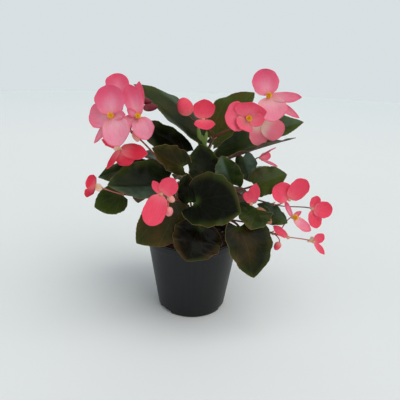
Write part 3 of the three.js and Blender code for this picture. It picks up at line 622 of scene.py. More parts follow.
def tube(line, radii, sides):
    """A closed round tube along a line, with a radius for each of its points."""
    tangents = np.gradient(line, axis=0)
    tangents /= np.linalg.norm(tangents, axis=1)[:, None]
    side = UP if abs(tangents[0][2]) < STEEP else (1, 0, 0)
    cos, sin = circle(sides)
    rings = []
    for centre, tangent, radius in zip(line, tangents, radii):
        side = across_to(side, tangent)
        rings.append(centre + radius * (cos * side + sin * np.cross(tangent, side)))
    return closed_skin(line[0], rings, line[-1])


def pod(base, axis, up, size, rings, sides, seam=0):
    """A closed egg-shaped pod along an axis, which `up` gives its width. `seam` pinches both of its edges."""
    length, width, depth = size
    axis = unit(axis)
    side = across_to(up, axis)
    other = np.cross(axis, side)
    cos, sin = circle(sides)
    flat = cos * width / 2 * side + sin * (1 - seam * np.exp(-(sin / SEAM_WIDTH) ** 2)) * depth / 2 * other
    steps = np.linspace(0, 1, rings + 1)[1:-1]
    return closed_skin(base, [base + axis * length * t + flat * egg(t) for t in steps], base + axis * length)


def egg(t):
    """How wide an egg is at a share of its length, fuller towards its base."""
    return math.sqrt(1 - (2 * t - 1) ** 2) * (EGG_BASE - EGG_TAPER * t)


def lathe(profile, sides):
    """A closed solid of revolution from radius and height pairs that start and end on the axis."""
    cos, sin = circle(sides)
    rings = [np.hstack([r * cos, r * sin, np.full_like(cos, z)]) for r, z in profile[1:-1]]
    return closed_skin((0, 0, profile[0][1]), rings, (0, 0, profile[-1][1]))


# Blades

class Blade:
    """The frame of a blade that arches from its base to its tip, turning by `droop` degrees on the way."""

    def __init__(self, base, tip, face, droop):
        self.base, self.reach, self.bend = base, np.linalg.norm(tip - base), droop * DEG
        chord = (tip - base) / self.reach
        normal = across_to(face, chord)
        self.side = np.cross(normal, chord)
        self.along = turned(chord, normal, droop / 2)
        self.normal = turned(normal, -chord, droop / 2)
        self.radius = self.reach / (2 * math.sin(self.bend / 2))

    def surface(self, share, out, rise):
        """Points of the middle surface from their share of its length and how far out and above they are."""
        bend = self.bend * share
        over = (self.radius + rise) * np.sin(bend)
        above = (self.radius + rise) * np.cos(bend) - self.radius
        parts = ((over, self.along), (above, self.normal), (out, self.side))
        return self.base + sum(amount[..., None] * axis for amount, axis in parts)


def blade_grid(rows, columns, crowding):
    """How far along and across a blade each point of a grid is, with its rows closer towards the tip."""
    along = 1 - (1 - np.linspace(0, 1, rows + 1)) ** crowding
    return np.meshgrid(along, np.linspace(-1, 1, columns + 1), indexing="ij")


def blade_normals(middle):
    """Unit normals of a grid of points, with the last row taken from the one before it."""
    normals = np.cross(np.gradient(middle, axis=0), np.gradient(middle, axis=1))
    normals /= np.maximum(np.linalg.norm(normals, axis=2), TINY)[..., None]
    normals[-1] = unit(normals[-2].mean(0))
    return normals


def plate_faces(rows, columns):
    """Faces of a closed plate whose last row is one point, upper points first."""
    count = rows * (columns + 1) + 1
    at = [[min(i * (columns + 1) + j, count - 1) for j in range(columns + 1)] for i in range(rows + 1)]
    faces = []
    for row, ahead in zip(at, at[1:]):
        for j in range(columns):
            ring = tuple(dict.fromkeys((row[j], ahead[j], ahead[j + 1], row[j + 1])))
            faces += [ring, tuple(count + k for k in reversed(ring))]
    border = [row[0] for row in reversed(at)] + at[0][1:] + [row[-1] for row in at[1:]]
    return faces + [(a, b, b + count, a + count) for a, b in zip(border, border[1:])]


LEAF_FACES = plate_faces(LEAF_ROWS, LEAF_COLUMNS)
PETAL_FACES = plate_faces(PETAL_ROWS, PETAL_COLUMNS)


def flat_list(grid):
    """A grid's points as a list, with its last row as one point."""
    return np.concatenate([grid[:-1].reshape(-1, grid.shape[2]), grid[-1:, 0]])


def add_plate(piece, middle, heights, faces, look, **fields):
    """Adds a blade whose two sides lie at these heights over its middle surface. A field may be a grid."""
    normals = blade_normals(middle)
    sides = [flat_list(middle + normals * height[..., None]) for height in heights]
    for name, value in fields.items():
        if np.ndim(value) == 3:
            fields[name] = np.tile(flat_list(value), (2, 1))
    piece.add((np.concatenate(sides), faces), look, face=np.repeat([1, 0], len(sides[0])), **fields)


def vein_distances(kit, x, y, seed):
    """How far points of a flattened leaf are from the nearest main vein, from its branches and from the hub.

    `kit` is numpy for the mesh, and a Graph for the nodes of its material.
    """
    wx = x + VEIN_WARP * kit.sin(VEIN_WARP_PITCH[0] * y + VEIN_WARP_SHIFT[0] * seed)
    wy = y + VEIN_WARP * kit.sin(VEIN_WARP_PITCH[1] * x + VEIN_WARP_SHIFT[1] * seed)
    reach = kit.sqrt(wx * wx + wy * wy)
    spread = VEIN_SPREAD * (1 - VEIN_LEAN * kit.minimum(reach / VEIN_SPAN, 1))
    turn = kit.arctan2(wx, wy) / spread
    off = turn - kit.round(turn)
    main = abs(off) * spread * reach
    stage = (reach - main) / BRANCH_PITCH + 0.5 * (off > 0)
    branch = abs(stage - kit.round(stage)) * (BRANCH_PITCH * BRANCH_SLANT)
    return main, branch, reach


# Leaves

def leaf_outline(u):
    """How wide a leaf is at a share of its length, as a share of its full width."""
    below = np.maximum(0, 1 - u / LEAF_SHOULDER)
    corner = np.maximum(0, 1 - u / LEAF_CORNER)
    narrowed = (1 - LEAF_BASE_NARROWING * below ** 2) * np.sqrt(1 - LEAF_CORNER_CUT * corner ** 2)
    return narrowed * np.maximum(0, 1 - u ** LEAF_TIP_START) ** LEAF_TIP_ROUNDNESS


def leaf_sides(x, y, half, across, seed):
    """How high the two sides of a blade lie over its middle: quilted between the veins, with ribs below."""
    main, branchlet, _ = vein_distances(np, x, y, seed)
    nearest = np.minimum(main, branchlet + BRANCH_SHALLOWNESS)
    fade = np.minimum(1, half * (1 - across) / FLAT_MARGIN) * np.minimum(1, half / FLAT_TIP)
    quilt = (QUILT * (1 - np.exp(-(nearest / QUILT_WIDTH) ** 2)) - VEIN_DEPTH) * fade
    rib = RIB * np.exp(-(main / RIB_WIDTH) ** 2) * fade
    thick = LEAF_THICKNESS * (1 - LEAF_THINNING * across ** THINNING_HOLD)
    return quilt + thick / 2, quilt - thick / 2 - rib


def painted_sheen_share(name, x):
    """How much painted grey sheen, standing in for light reflected off the gloss, lies on a leaf at a
    distance across from its midrib.
    """
    sheen = LEAF_LOOKS[name][3]
    inside = np.clip((x * np.sign(sheen) - PAINTED_SHEEN_START.get(name, 0)) / PAINTED_SHEEN_FADE + 0.5, 0, 1)
    return abs(sheen) * (PAINTED_SHEEN_REST + (1 - PAINTED_SHEEN_REST) * inside)


def add_leaf_blade(piece, blade, name, number):
    """A lobed, toothed and waved blade that is folded along its midrib."""
    width, _, _, cup, skew, lobe = LEAVES[name][4:]
    bronze, light = LEAF_LOOKS[name][:2]
    phase = number * LEAF_PHASE
    seed = number * LEAF_SEED % 1
    unrest = LEAF_UNREST.get(name, 1)
    u, v = blade_grid(LEAF_ROWS, LEAF_COLUMNS, LEAF_TIP_CROWDING)
    hand = np.sign(v)
    across = 1 - (1 - np.abs(v)) ** LEAF_EDGE_CROWDING
    v = hand * across
    share = u - lobe * across ** LOBE_CURVE * (1 - u) ** 3
    tooth = unrest * LEAF_TOOTH * across ** TOOTH_HOLD * np.cos(TURN * LEAF_TEETH * u)
    half = width / 2 * leaf_outline(u) * (1 + tooth) * (1 + skew * hand)
    calm = np.minimum(1, half / CALM_WIDTH)
    teeth = np.round(blade.reach / FINE_TOOTH_PITCH)
    point = (1 - np.abs(np.sin(math.pi * teeth * u + number))) ** FINE_TOOTH_POINT
    edge = half + FINE_TOOTH * across ** FINE_TOOTH_HOLD * point * calm
    wave = unrest * LEAF_WAVE * v * v * np.sin(math.pi * u) * np.sin(
        TURN * LEAF_WAVES * u + LEAF_SIDE_SHIFT * hand + phase)
    ruffle = RUFFLE * across ** RUFFLE_HOLD * calm * np.sin(
        TURN * RUFFLES * u + RUFFLE_SHIFT * hand + 2 * phase)
    fold = half * (np.sqrt(v * v + FOLD_SOFTNESS) - FOLD_DEPTH) * math.sin(cup * DEG)
    middle = blade.surface(share, edge * v * math.cos(cup * DEG), fold + wave + ruffle)
    x, y = half * v, blade.reach * share
    # The tint's third part is the share of painted grey sheen, which stands in for reflected light.
    add_plate(piece, middle, leaf_sides(x, y, half, across, seed), LEAF_FACES, "leaf",
              place=np.stack([x, y, edge * (1 - across)], -1), tone=bronze,
              tint=np.stack([np.full_like(u, seed), np.full_like(u, light), painted_sheen_share(name, x)], -1))


def add_leaf_stalk(piece, blade, name):
    """The stalk from its branch to under the blade, wider at both of its ends."""
    start, way = leaving(*LEAVES[name][:2], blade.base, PETIOLE_RISE)
    pull = np.linalg.norm(start - blade.base) * STALK_PULL
    end = blade.base + blade.along * PETIOLE_UNDER_BLADE - blade.normal * (LEAF_THICKNESS / 2 + PETIOLE_GAP)
    below = end - blade.along * pull - blade.normal * pull * STALK_PULL
    line = bezier(start, start + way * pull, below, end, steps=28)
    t = np.linspace(0, 1, len(line))
    swell = FOOT_SWELL * np.exp(-t / FOOT_SHARE) + HUB_SWELL * np.exp(-(1 - t) / HUB_SHARE)
    piece.add(tube(line, PETIOLE_RADIUS * (1 + swell), sides=12), "stalk", tone=LEAF_LOOKS[name][2])


def make_leaf(name, number):
    hub, tip, _, face, droop = LEAVES[name][2:7]
    blade = Blade(np.array(hub, float), np.array(tip, float), face, droop)
    piece = Piece()
    add_leaf_blade(piece, blade, name, number)
    add_leaf_stalk(piece, blade, name)
    if name in BRACTS:
        foot, end, width = (np.array(x, float) for x in BRACTS[name])
        size = (np.linalg.norm(end - foot), width, BRACT_DEPTH)
        piece.add(pod(foot, end - foot, BRACT_FACE, size, rings=14, sides=20), "flesh", tint="#b07a5e")
    piece.build(name + "_blade", [name])


# Flowers

def petal_outline(u, tip):
    """How wide a petal is at a share of its length, as a share of its full width."""
    beyond = np.maximum(0, (u - PETAL_BROADEST) / (1 - PETAL_BROADEST))
    rising = np.sqrt(1 - (1 - np.minimum(1, u / PETAL_BROADEST)) ** 2)
    return (PETAL_BASE + (1 - PETAL_BASE) * rising) * np.maximum(0, 1 - beyond ** 2) ** tip


def add_petal(piece, blade, width, phase, tone, tint):
    """A cupped petal with a waved margin, faint pleats and slightly uneven halves."""
    u, c = blade_grid(PETAL_ROWS, PETAL_COLUMNS, PETAL_TIP_CROWDING)
    v = PETAL_EDGE_CROWDING * np.sin(c * math.pi / 2) + (1 - PETAL_EDGE_CROWDING) * c
    across, hand = np.abs(v), np.sign(v)
    arch = np.sin(math.pi * u)
    broad = width > BROAD_PETAL * blade.reach
    lopsided = 1 + PETAL_UNEVEN * math.cos(2 * phase) * hand * arch
    ripple = RIPPLE * np.sin(RIPPLE_PITCH[0] * u + 2 * hand + phase)
    ripple += FINE_RIPPLE * np.sin(RIPPLE_PITCH[1] * u - hand + 3 * phase)
    plain = width / 2 * petal_outline(u, BROAD_TIP if broad else NARROW_TIP)
    half = plain * lopsided * (1 + across ** 2 * ripple)
    scale = min(1, width / FULL_WAVE_WIDTH)
    wave = PETAL_WAVE * np.sin(WAVE_PITCH[0] * u + 2 * hand + phase)
    wave += FINE_WAVE * np.sin(WAVE_PITCH[1] * u + 3 * phase)
    pleat = PLEAT * scale * np.sin(PLEATS * v + phase) * np.sin(math.pi * np.minimum(1, PLEAT_END * u))
    cupped = plain * (PETAL_ROUNDNESS * v * v + (1 - PETAL_ROUNDNESS) * across) * math.sin(PETAL_CUP * DEG)
    rise = cupped + scale * across ** 3 * wave * np.sin(math.pi * u / 2) + pleat
    share = u + PETAL_UNEVEN * arch * np.sin(UNEVEN_PITCH * v + phase) * u
    middle = blade.surface(share, half * v * math.cos(PETAL_CUP * DEG), rise)
    thick = PETAL_THICKNESS * (1 - PETAL_THINNING * across ** THINNING_HOLD)
    place = np.stack([v, u, plain * (1 - across) + (1 - u) * PETAL_TIP_MARGIN], -1)
    add_plate(piece, middle, (thick / 2, -thick / 2), PETAL_FACES, "petal", place=place, tone=tone, tint=tint)


def bloom_frame(name):
    """A bloom's centre, the way it faces, and the ways up and right across it."""
    centre, faces = (np.array(x, float) for x in BLOOMS[name][:2])
    axis = unit(faces)
    up = across_to(UP, axis)
    return centre, axis, up, np.cross(up, axis)


def add_ovary(piece, centre, axis, up, right):
    """The ovary behind a bloom, with its three wings."""
    back = centre - axis * OVARY_SIZE[0]
    piece.add(pod(back, axis, up, OVARY_SIZE, rings=12, sides=18), "flesh", tint="#e3c39a")
    for turn in OVARY_WING_TURNS:
        out = turned(up, right, turn)
        wing = pod(back + out * OVARY_WING_INSET, axis, out, OVARY_WING_SIZE, rings=10, sides=14)
        piece.add(wing, "flesh", tint="#f0c9b4")


def make_bloom(name, number):
    """The petals and the receptacle that joins them, with a winged ovary where one is seen behind them."""
    centre, axis, up, right = bloom_frame(name)
    tone, petals = BLOOMS[name][2:]
    piece = Piece()
    for k, (turn, spread, length, width) in enumerate(petals):
        radial = turned(up, right, turn)
        base = centre + radial * PETAL_INSET + axis * PETAL_STEP * (k % 2 - 0.5)
        tip = base + turned(axis, radial, spread) * length
        blade = Blade(base, tip, axis, BLOOM_BENDS.get(name, PETAL_BEND))
        pale = (1 - math.cos(turn * DEG)) / 2
        phase = number * BLOOM_PHASE + k * PETAL_PHASE
        # The tint's third part lifts the hanging petals with a warm throat colour and a painted glow.
        add_petal(piece, blade, width, phase, tone, (phase % 1, pale, BLOOM_THROAT_AND_GLOW.get(name, 0) * pale))
    joint = pod(centre - axis * RECEPTACLE_SIZE[0] / 2, axis, up, RECEPTACLE_SIZE, rings=8, sides=16)
    piece.add(joint, "flesh", tint="#d99a7c")
    if name in OVARY_BLOOMS:
        add_ovary(piece, centre, axis, up, right)
    piece.build(name + "_petals", [name])


def add_stamen(piece, middle, way, up):
    """A stamen that points away from the middle of its head: a thin filament and a thick anther."""
    length = STAMEN_RADIUS * draw.uniform(*STAMEN_LENGTHS)
    line = np.array([middle + way * length * share for share in FILAMENT_SHARES])
    piece.add(tube(line, FILAMENT_RADII, sides=5), "flesh", tint="#d98a1c")
    size = (length * (1 - ANTHER_START), *ANTHER_SECTION)
    anther = pod(middle + way * length * ANTHER_START, way, up, size, rings=6, sides=8, seam=0.2)
    piece.add(anther, "flesh", tint=draw.choice(ANTHER_COLOURS))


def make_stamens(name):
    """A tight head of club-shaped stamens, spread over a ball by the golden angle."""
    centre, axis, up, right = bloom_frame(name)
    middle = centre + axis * (RECEPTACLE_SIZE[0] / 2 + STAMEN_GAP + STAMEN_RADIUS)
    piece = Piece()
    piece.add(pod(centre + axis, axis, up, STAMEN_FOOT_SIZE, rings=8, sides=12), "flesh", tint="#d98c1e")
    for k in range(STAMEN_COUNT):
        height = 1 - STAMEN_COVER * (k + 0.5) / STAMEN_COUNT
        way = axis * height + turned(up, right, k * GOLDEN_ANGLE) * math.sqrt(1 - height ** 2)
        add_stamen(piece, middle, way, up)
    node = name.replace("bloom", "stamens")
    piece.build(node + "_head", [node])


# Sprays

def heading_at(path, place):
    """The way that a path heads at one of its points."""
    t = min(1, place / (len(path) - 1) + NUDGE)
    return unit(spline_point(path, t) - spline_point(path, t - 2 * NUDGE))


def add_pedicel(piece, path, place, goal, towards, redness):
    """The thin stalk of a bloom or a bud, swollen where it leaves the spray."""
    knot = path[place]
    pull = np.linalg.norm(goal - knot) * STALK_PULL
    line = bezier(knot, knot + heading_at(path, place) * pull, goal - towards * pull, goal, steps=22)
    swell = 1 + PEDICEL_SWELL * np.exp(-np.linspace(0, 1, len(line)) / FOOT_SHARE)
    piece.add(tube(line, PEDICEL_RADIUS * swell, sides=10), "stalk", tone=redness)


def add_knot(piece, path, place):
    """The swelling from which stalks leave, between two small bracts."""
    knot, heading = path[place], heading_at(path, place)
    side = across_to(UP, heading)
    other = np.cross(heading, side)
    swelling = pod(knot - heading * KNOT_SIZE[0] / 2, heading, side, KNOT_SIZE, rings=10, sides=14)
    piece.add(swelling, "stalk", tone=WOOD_REDNESS)
    for sign in (-1, 1):
        out = heading * KNOT_BRACT_AHEAD + other * sign + side * KNOT_BRACT_LIFT
        foot = knot + other * sign * KNOT_BRACT_INSET - heading
        piece.add(pod(foot, out, side, KNOT_BRACT_SIZE, rings=8, sides=10), "flesh", tint="#c9907a")


def add_bud(piece, centre, axis, length, width, colour):
    """A closed bud with a seam along both of its edges, paler at its foot."""
    base = centre - axis * length / 2
    up = np.cross(axis, across_to(BUD_FACE, axis))
    shape = pod(base, axis, up, (length, width, width * BUD_DEPTH), rings=22, sides=32, seam=0.12)
    share = np.clip((shape[0] - base) @ axis / length, 0, 1)[:, None]
    pale = BUD_PALENESS.get(colour, PALE_FOOT) * (1 - share) ** 4
    piece.add(shape, "flesh", tint=np.array(srgb("#f0b09a")) * pale + np.array(srgb(colour)) * (1 - pale))


def make_spray(name):
    """A flower stalk with the thinner stalks of its blooms and buds, and the buds."""
    branch, share, stops, hung, buds = SPRAYS[name]
    start, way = leaving(branch, share, stops[0], PEDUNCLE_RISE)
    path = np.array([start, start + way * PEDUNCLE_FOOT, *stops], float)
    first_stop = len(path) - len(stops)
    line = spline(path, steps=60)
    radii = PEDUNCLE_RADIUS * np.linspace(*PEDUNCLE_TAPER, len(line))
    piece = Piece()
    piece.add(tube(line, radii, sides=14), "stalk", tone=PEDUNCLE_REDNESS.get(name, RED_PEDUNCLE))
    ends = []
    for bloom, stop in hung.items():
        centre, axis = bloom_frame(bloom)[:2]
        ends.append((stop, centre - axis * (RECEPTACLE_SIZE[0] / 2 - PEDICEL_SINK), axis))
    for stop, centre, faces, length, width, colour in buds:
        axis = unit(faces)
        ends.append((stop, centre - axis * length * BUD_SINK, axis))
        add_bud(piece, np.array(centre, float), axis, length, width, colour)
    for stop, goal, axis in ends:
        add_pedicel(piece, path, first_stop + stop, goal, axis, PEDICEL_REDNESS.get(name, PINK_PEDICEL))
    for stop in sorted({end[0] for end in ends}):
        add_knot(piece, path, first_stop + stop)
    piece.build(name + "_stalks", [name])


# Stems

def add_branch(piece, name, joints):
    """A branch that swells at its joints and thins towards its tip. The top one is greener higher up."""
    line = spline(BRANCHES[name], steps=90)
    along = np.linspace(0, 1, len(line))
    swell = sum(np.exp(-((along - joint) / JOINT_SHARE) ** 2) for joint in joints)
    radii = STEM_RADIUS * (STEM_FOOT - STEM_TAPER * along ** 3)
    radii *= STEM_WAIST + STEM_SWELL * np.minimum(swell, 1)
    radii[-len(STEM_END):] *= STEM_END
    shape = tube(line, radii, sides=20)
    height = np.clip((shape[0][:, 2] - GREEN_FROM) / GREEN_RISE, 0, 1)
    piece.add(shape, "stalk", tone=TOP_REDNESS - TOP_GREENING * height if name == "top" else STEM_REDNESS)


def add_scale(piece, branch, share, goal):
    """The papery scale under the foot of a stalk that sets out for its goal."""
    point, way = leaving(branch, share, goal, SCALE_RISE)
    base = point + across_to(way, UP) * STEM_RADIUS * SCALE_INSET - UP * SCALE_DROP
    piece.add(pod(base, way, np.cross(way, UP), SCALE_SIZE, rings=8, sides=12), "flesh", tint="#8d6a48")


def make_stems():
    """The crown and its branches, with a joint and a scale wherever a stalk leaves."""
    piece = Piece()
    stalks = [leaf[:3] for leaf in LEAVES.values()]
    stalks += [(branch, share, stops[0]) for branch, share, stops, _, _ in SPRAYS.values()]
    for name in BRANCHES:
        shares = {share for branch, share, _ in stalks if branch == name}
        add_branch(piece, name, sorted(shares | STEM_JOINTS))
    for stalk in stalks:
        add_scale(piece, *stalk)
    crown = [(radius, SOIL_TOP + height) for radius, height in CROWN_PROFILE]
    piece.add(lathe(crown, sides=28), "stalk", tone=WOOD_REDNESS)
    piece.build("stem_frame", ["stems"])


def make_shoot():
    """The pale young shoot between the upper leaves: three folded scales round a stalk tip."""
    piece = Piece()
    for offset, lean, length, width in SHOOT_SCALES:
        base = np.array(SHOOT_FOOT) + (offset, 0, 0)
        size = (length, width, SHOOT_DEPTH)
        scale = pod(base, (lean, *SHOOT_WAY), (1, 0, 0), size, rings=18, sides=18, seam=0.3)
        piece.add(scale, "stalk")
    piece.build("young_shoot", [])


# Soil and pot

def soil_height(x, y):
    """How far the lumpy soil lies over its even level."""
    swell = np.sin(x * SOIL_PITCH[0] + SOIL_SHIFT[0]) * np.cos(y * SOIL_PITCH[1] + SOIL_SHIFT[1])
    swell += 0.5 * np.sin((x + 2 * y) * SOIL_PITCH[2])
    lumps = [noise.fractal(Vector((a, b, 0)), *LUMP_LAYERS) for a, b in zip(x / LUMP_SIZE, y / LUMP_SIZE)]
    return SOIL_SWELL * swell + SOIL_LUMPS * np.array(lumps)


def add_crumb(piece, reach):
    """A loose crumb or white grain that lies on the soil, up to that far from the middle."""
    turn, share = draw.uniform(0, 360), math.sqrt(draw.uniform(*CRUMB_SPREAD))
    size = draw.uniform(*CRUMB_SIZES)
    spot = turned(np.array([1, 0, 0]), np.array([0, 1, 0]), turn) * reach * share
    spot[2] = SOIL_TOP + CRUMB_RISE * size - CRUMB_SINK
    axis = unit([draw.uniform(-1, 1), draw.uniform(-1, 1), draw.uniform(*CRUMB_TILT)])
    white = draw.random() < WHITE_CRUMBS
    body = (size, size * draw.uniform(*CRUMB_WIDTHS), size * draw.uniform(*CRUMB_DEPTHS))
    points, faces = pod(spot - axis * size / 2, axis, CRUMB_FACE, body, rings=5, sides=7)
    dents = [[noise.noise(Vector(point) * DENT_PITCH + Vector((0, 0, shift))) for shift in DENT_SHIFTS]
             for point in points]
    piece.add((points + np.array(dents) * CRUMB_DENTS, faces), "soil", tone=white)


def make_soil():
    """Crumbled peat mix: a lumpy top, loose crumbs and a few white grains."""
    inner = POT_HEEL_RADIUS - POT_WALL - SOIL_GAP
    slope = (POT_SHOULDER_RADIUS - POT_HEEL_RADIUS) / (POT_HEIGHT - RIM_HEIGHT - POT_FLOOR)
    edge = SOIL_TOP - SOIL_EDGE
    brim = inner + slope * (edge - POT_FLOOR)
    shares = 1 - np.arange(1, SOIL_RINGS) / SOIL_RINGS
    profile = [(0, SOIL_FOOT), (inner, SOIL_FOOT), (brim, edge)]
    profile += [(brim * share ** SOIL_SPREAD, SOIL_TOP) for share in shares] + [(0, SOIL_TOP)]
    points, faces = lathe(profile, sides=150)
    top = points[:, 2] > edge + SOIL_EDGE / 2
    points[top, 2] += soil_height(*points[top, :2].T)
    piece = Piece()
    piece.add((points, faces), "soil")
    for _ in range(CRUMB_COUNT):
        add_crumb(piece, brim - SOIL_EDGE)
    piece.build("potting_mix", ["soil"])


def arc(centre, radius, start, end, steps):
    """Points of a circular arc in the profile's plane."""
    angles = np.linspace(start, end, steps + 1) * DEG
    return [(centre[0] + radius * math.cos(a), centre[1] + radius * math.sin(a)) for a in angles]


def pot_profile():
    """The section of the pot from the middle of its foot, up outside, over the rim and down to its floor."""
    inner = POT_SHOULDER_RADIUS - POT_WALL
    lip = RIM_RADIUS - RIM_LIP
    top = POT_HEIGHT
    shoulder = top - RIM_HEIGHT
    profile = [(0, 0), (POT_FOOT_RADIUS - 6, 0), (POT_FOOT_RADIUS, 0)]
    profile += arc((POT_FOOT_RADIUS, FOOT_FILLET), FOOT_FILLET, -80, -20, 6)
    heel, brim = (POT_HEEL_RADIUS, POT_HEEL_HEIGHT), (POT_SHOULDER_RADIUS, shoulder)
    profile += [tuple(point) for point in np.linspace(heel, brim, POT_WALL_RINGS + 1)[:-1]]
    profile += arc((POT_SHOULDER_RADIUS + EDGE_FILLET, shoulder - EDGE_FILLET), EDGE_FILLET, 180, 90, 3)
    profile += arc((lip - EDGE_FILLET, shoulder + EDGE_FILLET), EDGE_FILLET, -90, 0, 3)
    profile += [(lip + 0.2, shoulder + 3), (RIM_RADIUS - RIM_LIP / 2, top - RIM_ROLL - 0.3)]
    profile += arc((RIM_RADIUS - LIP_FILLET, top - LIP_FILLET), LIP_FILLET, -70, 90, 8)
    profile += arc((inner + MOUTH_OFFSET, top - MOUTH_FILLET), MOUTH_FILLET, 90, 190, 5)
    profile += [(inner + out, top - down) for out, down in MOUTH_POINTS]
    profile += [(POT_HEEL_RADIUS - POT_WALL, POT_FLOOR + 1), (POT_HEEL_RADIUS - POT_WALL - 1, POT_FLOOR)]
    return profile + [(20, POT_FLOOR), (0, POT_FLOOR)]


def notch_cutter(angle):
    """The rounded block that takes a drainage notch out of the pot's heel."""
    bpy.ops.mesh.primitive_cube_add(size=1)
    cutter = bpy.context.object
    cutter.scale = Vector((NOTCH_REACH, NOTCH_WIDTH, 2 * NOTCH_HEIGHT)) * MM
    cutter.rotation_euler.z = angle * DEG
    cutter.location = Vector((math.cos(angle * DEG), math.sin(angle * DEG), 0)) * POT_HEEL_RADIUS * MM
    bevel = cutter.modifiers.new("bevel", "BEVEL")
    bevel.width = NOTCH_BEVEL * MM
    bevel.segments = 3
    return cutter


def drain_cutter(angle):
    """The rod that takes a drain hole out of the pot's floor."""
    spot = Vector((math.cos(angle * DEG), math.sin(angle * DEG), 0)) * DRAIN_RING * MM
    depth = 8 * POT_FLOOR * MM
    bpy.ops.mesh.primitive_cylinder_add(radius=DRAIN_RADIUS * MM, depth=depth, vertices=32, location=spot)
    return bpy.context.object


def make_pot():
    """The thin-walled pot with its rolled rim, drain holes and the three notches in its foot."""
    points, faces = lathe(pot_profile(), sides=180)
    mesh = bpy.data.meshes.new("pot_shell")
    mesh.from_pydata((points * MM).tolist(), [], faces)
    pot = new_object("pot_shell", mesh)
    cutters = [notch_cutter(angle) for angle in NOTCH_ANGLES]
    cutters += [drain_cutter((k + 0.5) / DRAIN_COUNT * 360) for k in range(DRAIN_COUNT)]
    for cutter in cutters:
        cut = pot.modifiers.new("cut", "BOOLEAN")
        cut.operation = "DIFFERENCE"
        cut.solver = "EXACT"
        cut.object = cutter
    evaluated = pot.evaluated_get(bpy.context.evaluated_depsgraph_get())
    cut_mesh = bpy.data.meshes.new_from_object(evaluated)
    pot.modifiers.clear()
    pot.data = cut_mesh
    cut_mesh.name = pot.name
    for cutter in cutters:
        bpy.data.objects.remove(cutter)
    cut_mesh.materials.clear()
    cut_mesh.materials.append(looks["pot"])
    cut_mesh.polygons.foreach_set("use_smooth", [True] * len(cut_mesh.polygons))
    cut_mesh.set_sharp_from_angle(angle=POT_SHARP_ANGLE * DEG)
    settle(pot, ["pot"])


# Materials

class Wire:
    """A node's output that can be reckoned with as a number."""

    def __init__(self, graph, socket):
        self.math = graph.math
        self.socket = socket

    def __add__(self, other):
        return self.math("ADD", self, other)

    def __mul__(self, other):
        return self.math("MULTIPLY", self, other)

    def __sub__(self, other):
        return self.math("SUBTRACT", self, other)

    def __rsub__(self, other):
        return self.math("SUBTRACT", other, self)

    def __truediv__(self, other):
        return self.math("DIVIDE", self, other)

    def __gt__(self, other):
        return self.math("GREATER_THAN", self, other)

    def __abs__(self):
        return self.math("ABSOLUTE", self)

    __radd__ = __add__
    __rmul__ = __mul__


class Graph:
    """The nodes of a material or a world, added by short calls. A colour may be its hexadecimal name."""

    def __init__(self, owner, shader="BsdfPrincipled", output="OutputMaterial"):
        owner.use_nodes = True
        self.owner = owner
        self.tree = owner.node_tree
        self.tree.nodes.clear()
        end = self.tree.nodes.new("ShaderNode" + output)
        self.shader = self.tree.nodes.new("ShaderNode" + shader)
        self.tree.links.new(self.shader.outputs[0], end.inputs[0])

    def put(self, socket, value):
        """Links a wire to a socket, or sets the value there."""
        if isinstance(value, Wire):
            self.tree.links.new(value.socket, socket)
        elif isinstance(value, str):
            socket.default_value = (*srgb(value), 1)
        else:
            socket.default_value = value

    def add(self, kind, output=0, **values):
        """Adds a node. Names in capitals are its inputs, and the others are its settings."""
        node = self.tree.nodes.new("ShaderNode" + kind)
        for name, value in values.items():
            if name[0].isupper():
                self.put(node.inputs[name.replace("_", " ")], value)
            else:
                setattr(node, name, value)
        return Wire(self, node.outputs[output])

    def math(self, operation, *values):
        result = self.add("Math", operation=operation)
        for socket, value in zip(result.socket.node.inputs, values):
            self.put(socket, value)
        return result

    def sin(self, value):
        return self.math("SINE", value)

    def sqrt(self, value):
        return self.math("SQRT", value)

    def round(self, value):
        return self.math("ROUND", value)

    def arctan2(self, a, b):
        return self.math("ARCTAN2", a, b)

    def minimum(self, a, b):
        return self.math("MINIMUM", a, b)

    def step(self, value, low, high, start=0, end=1):
        """Goes smoothly from start to end as the value goes from low to high."""
        return self.add("MapRange", "Result", interpolation_type="SMOOTHSTEP", Value=value, From_Min=low,
                        From_Max=high, To_Min=start, To_Max=end)

    def mix(self, share, a, b):
        """That share of the colour b, and the rest of the colour a."""
        result = self.add("Mix", MIX_RESULT, data_type="RGBA")
        for k, value in zip(MIX_INPUTS, (share, a, b)):
            self.put(result.socket.node.inputs[k], value)
        return result

    def field(self, name, output="Fac"):
        return self.add("Attribute", output, attribute_name=name)

    def axes(self, vector):
        """The three parts of a vector."""
        node = self.add("SeparateXYZ", Vector=vector).socket.node
        return [Wire(self, socket) for socket in node.outputs]

    def point(self):
        """The place on the object, in metres."""
        return self.add("TexCoord", "Object")

    def noise(self, scale, detail=3, vector=None, rough=0.5):
        vector = vector or self.point()
        return self.add("TexNoise", "Fac", Scale=scale, Detail=detail, Roughness=rough, Vector=vector)

    def bump(self, height, strength, distance, **under):
        """Relief of that height. `under` may be the normal of a finer relief."""
        return self.add("Bump", Height=height, Strength=strength, Distance=distance, **under)

    def finish(self, **inputs):
        """Sets the shader's inputs."""
        for name, value in inputs.items():
            self.put(self.shader.inputs[name.replace("_", " ")], value)
        return self.owner


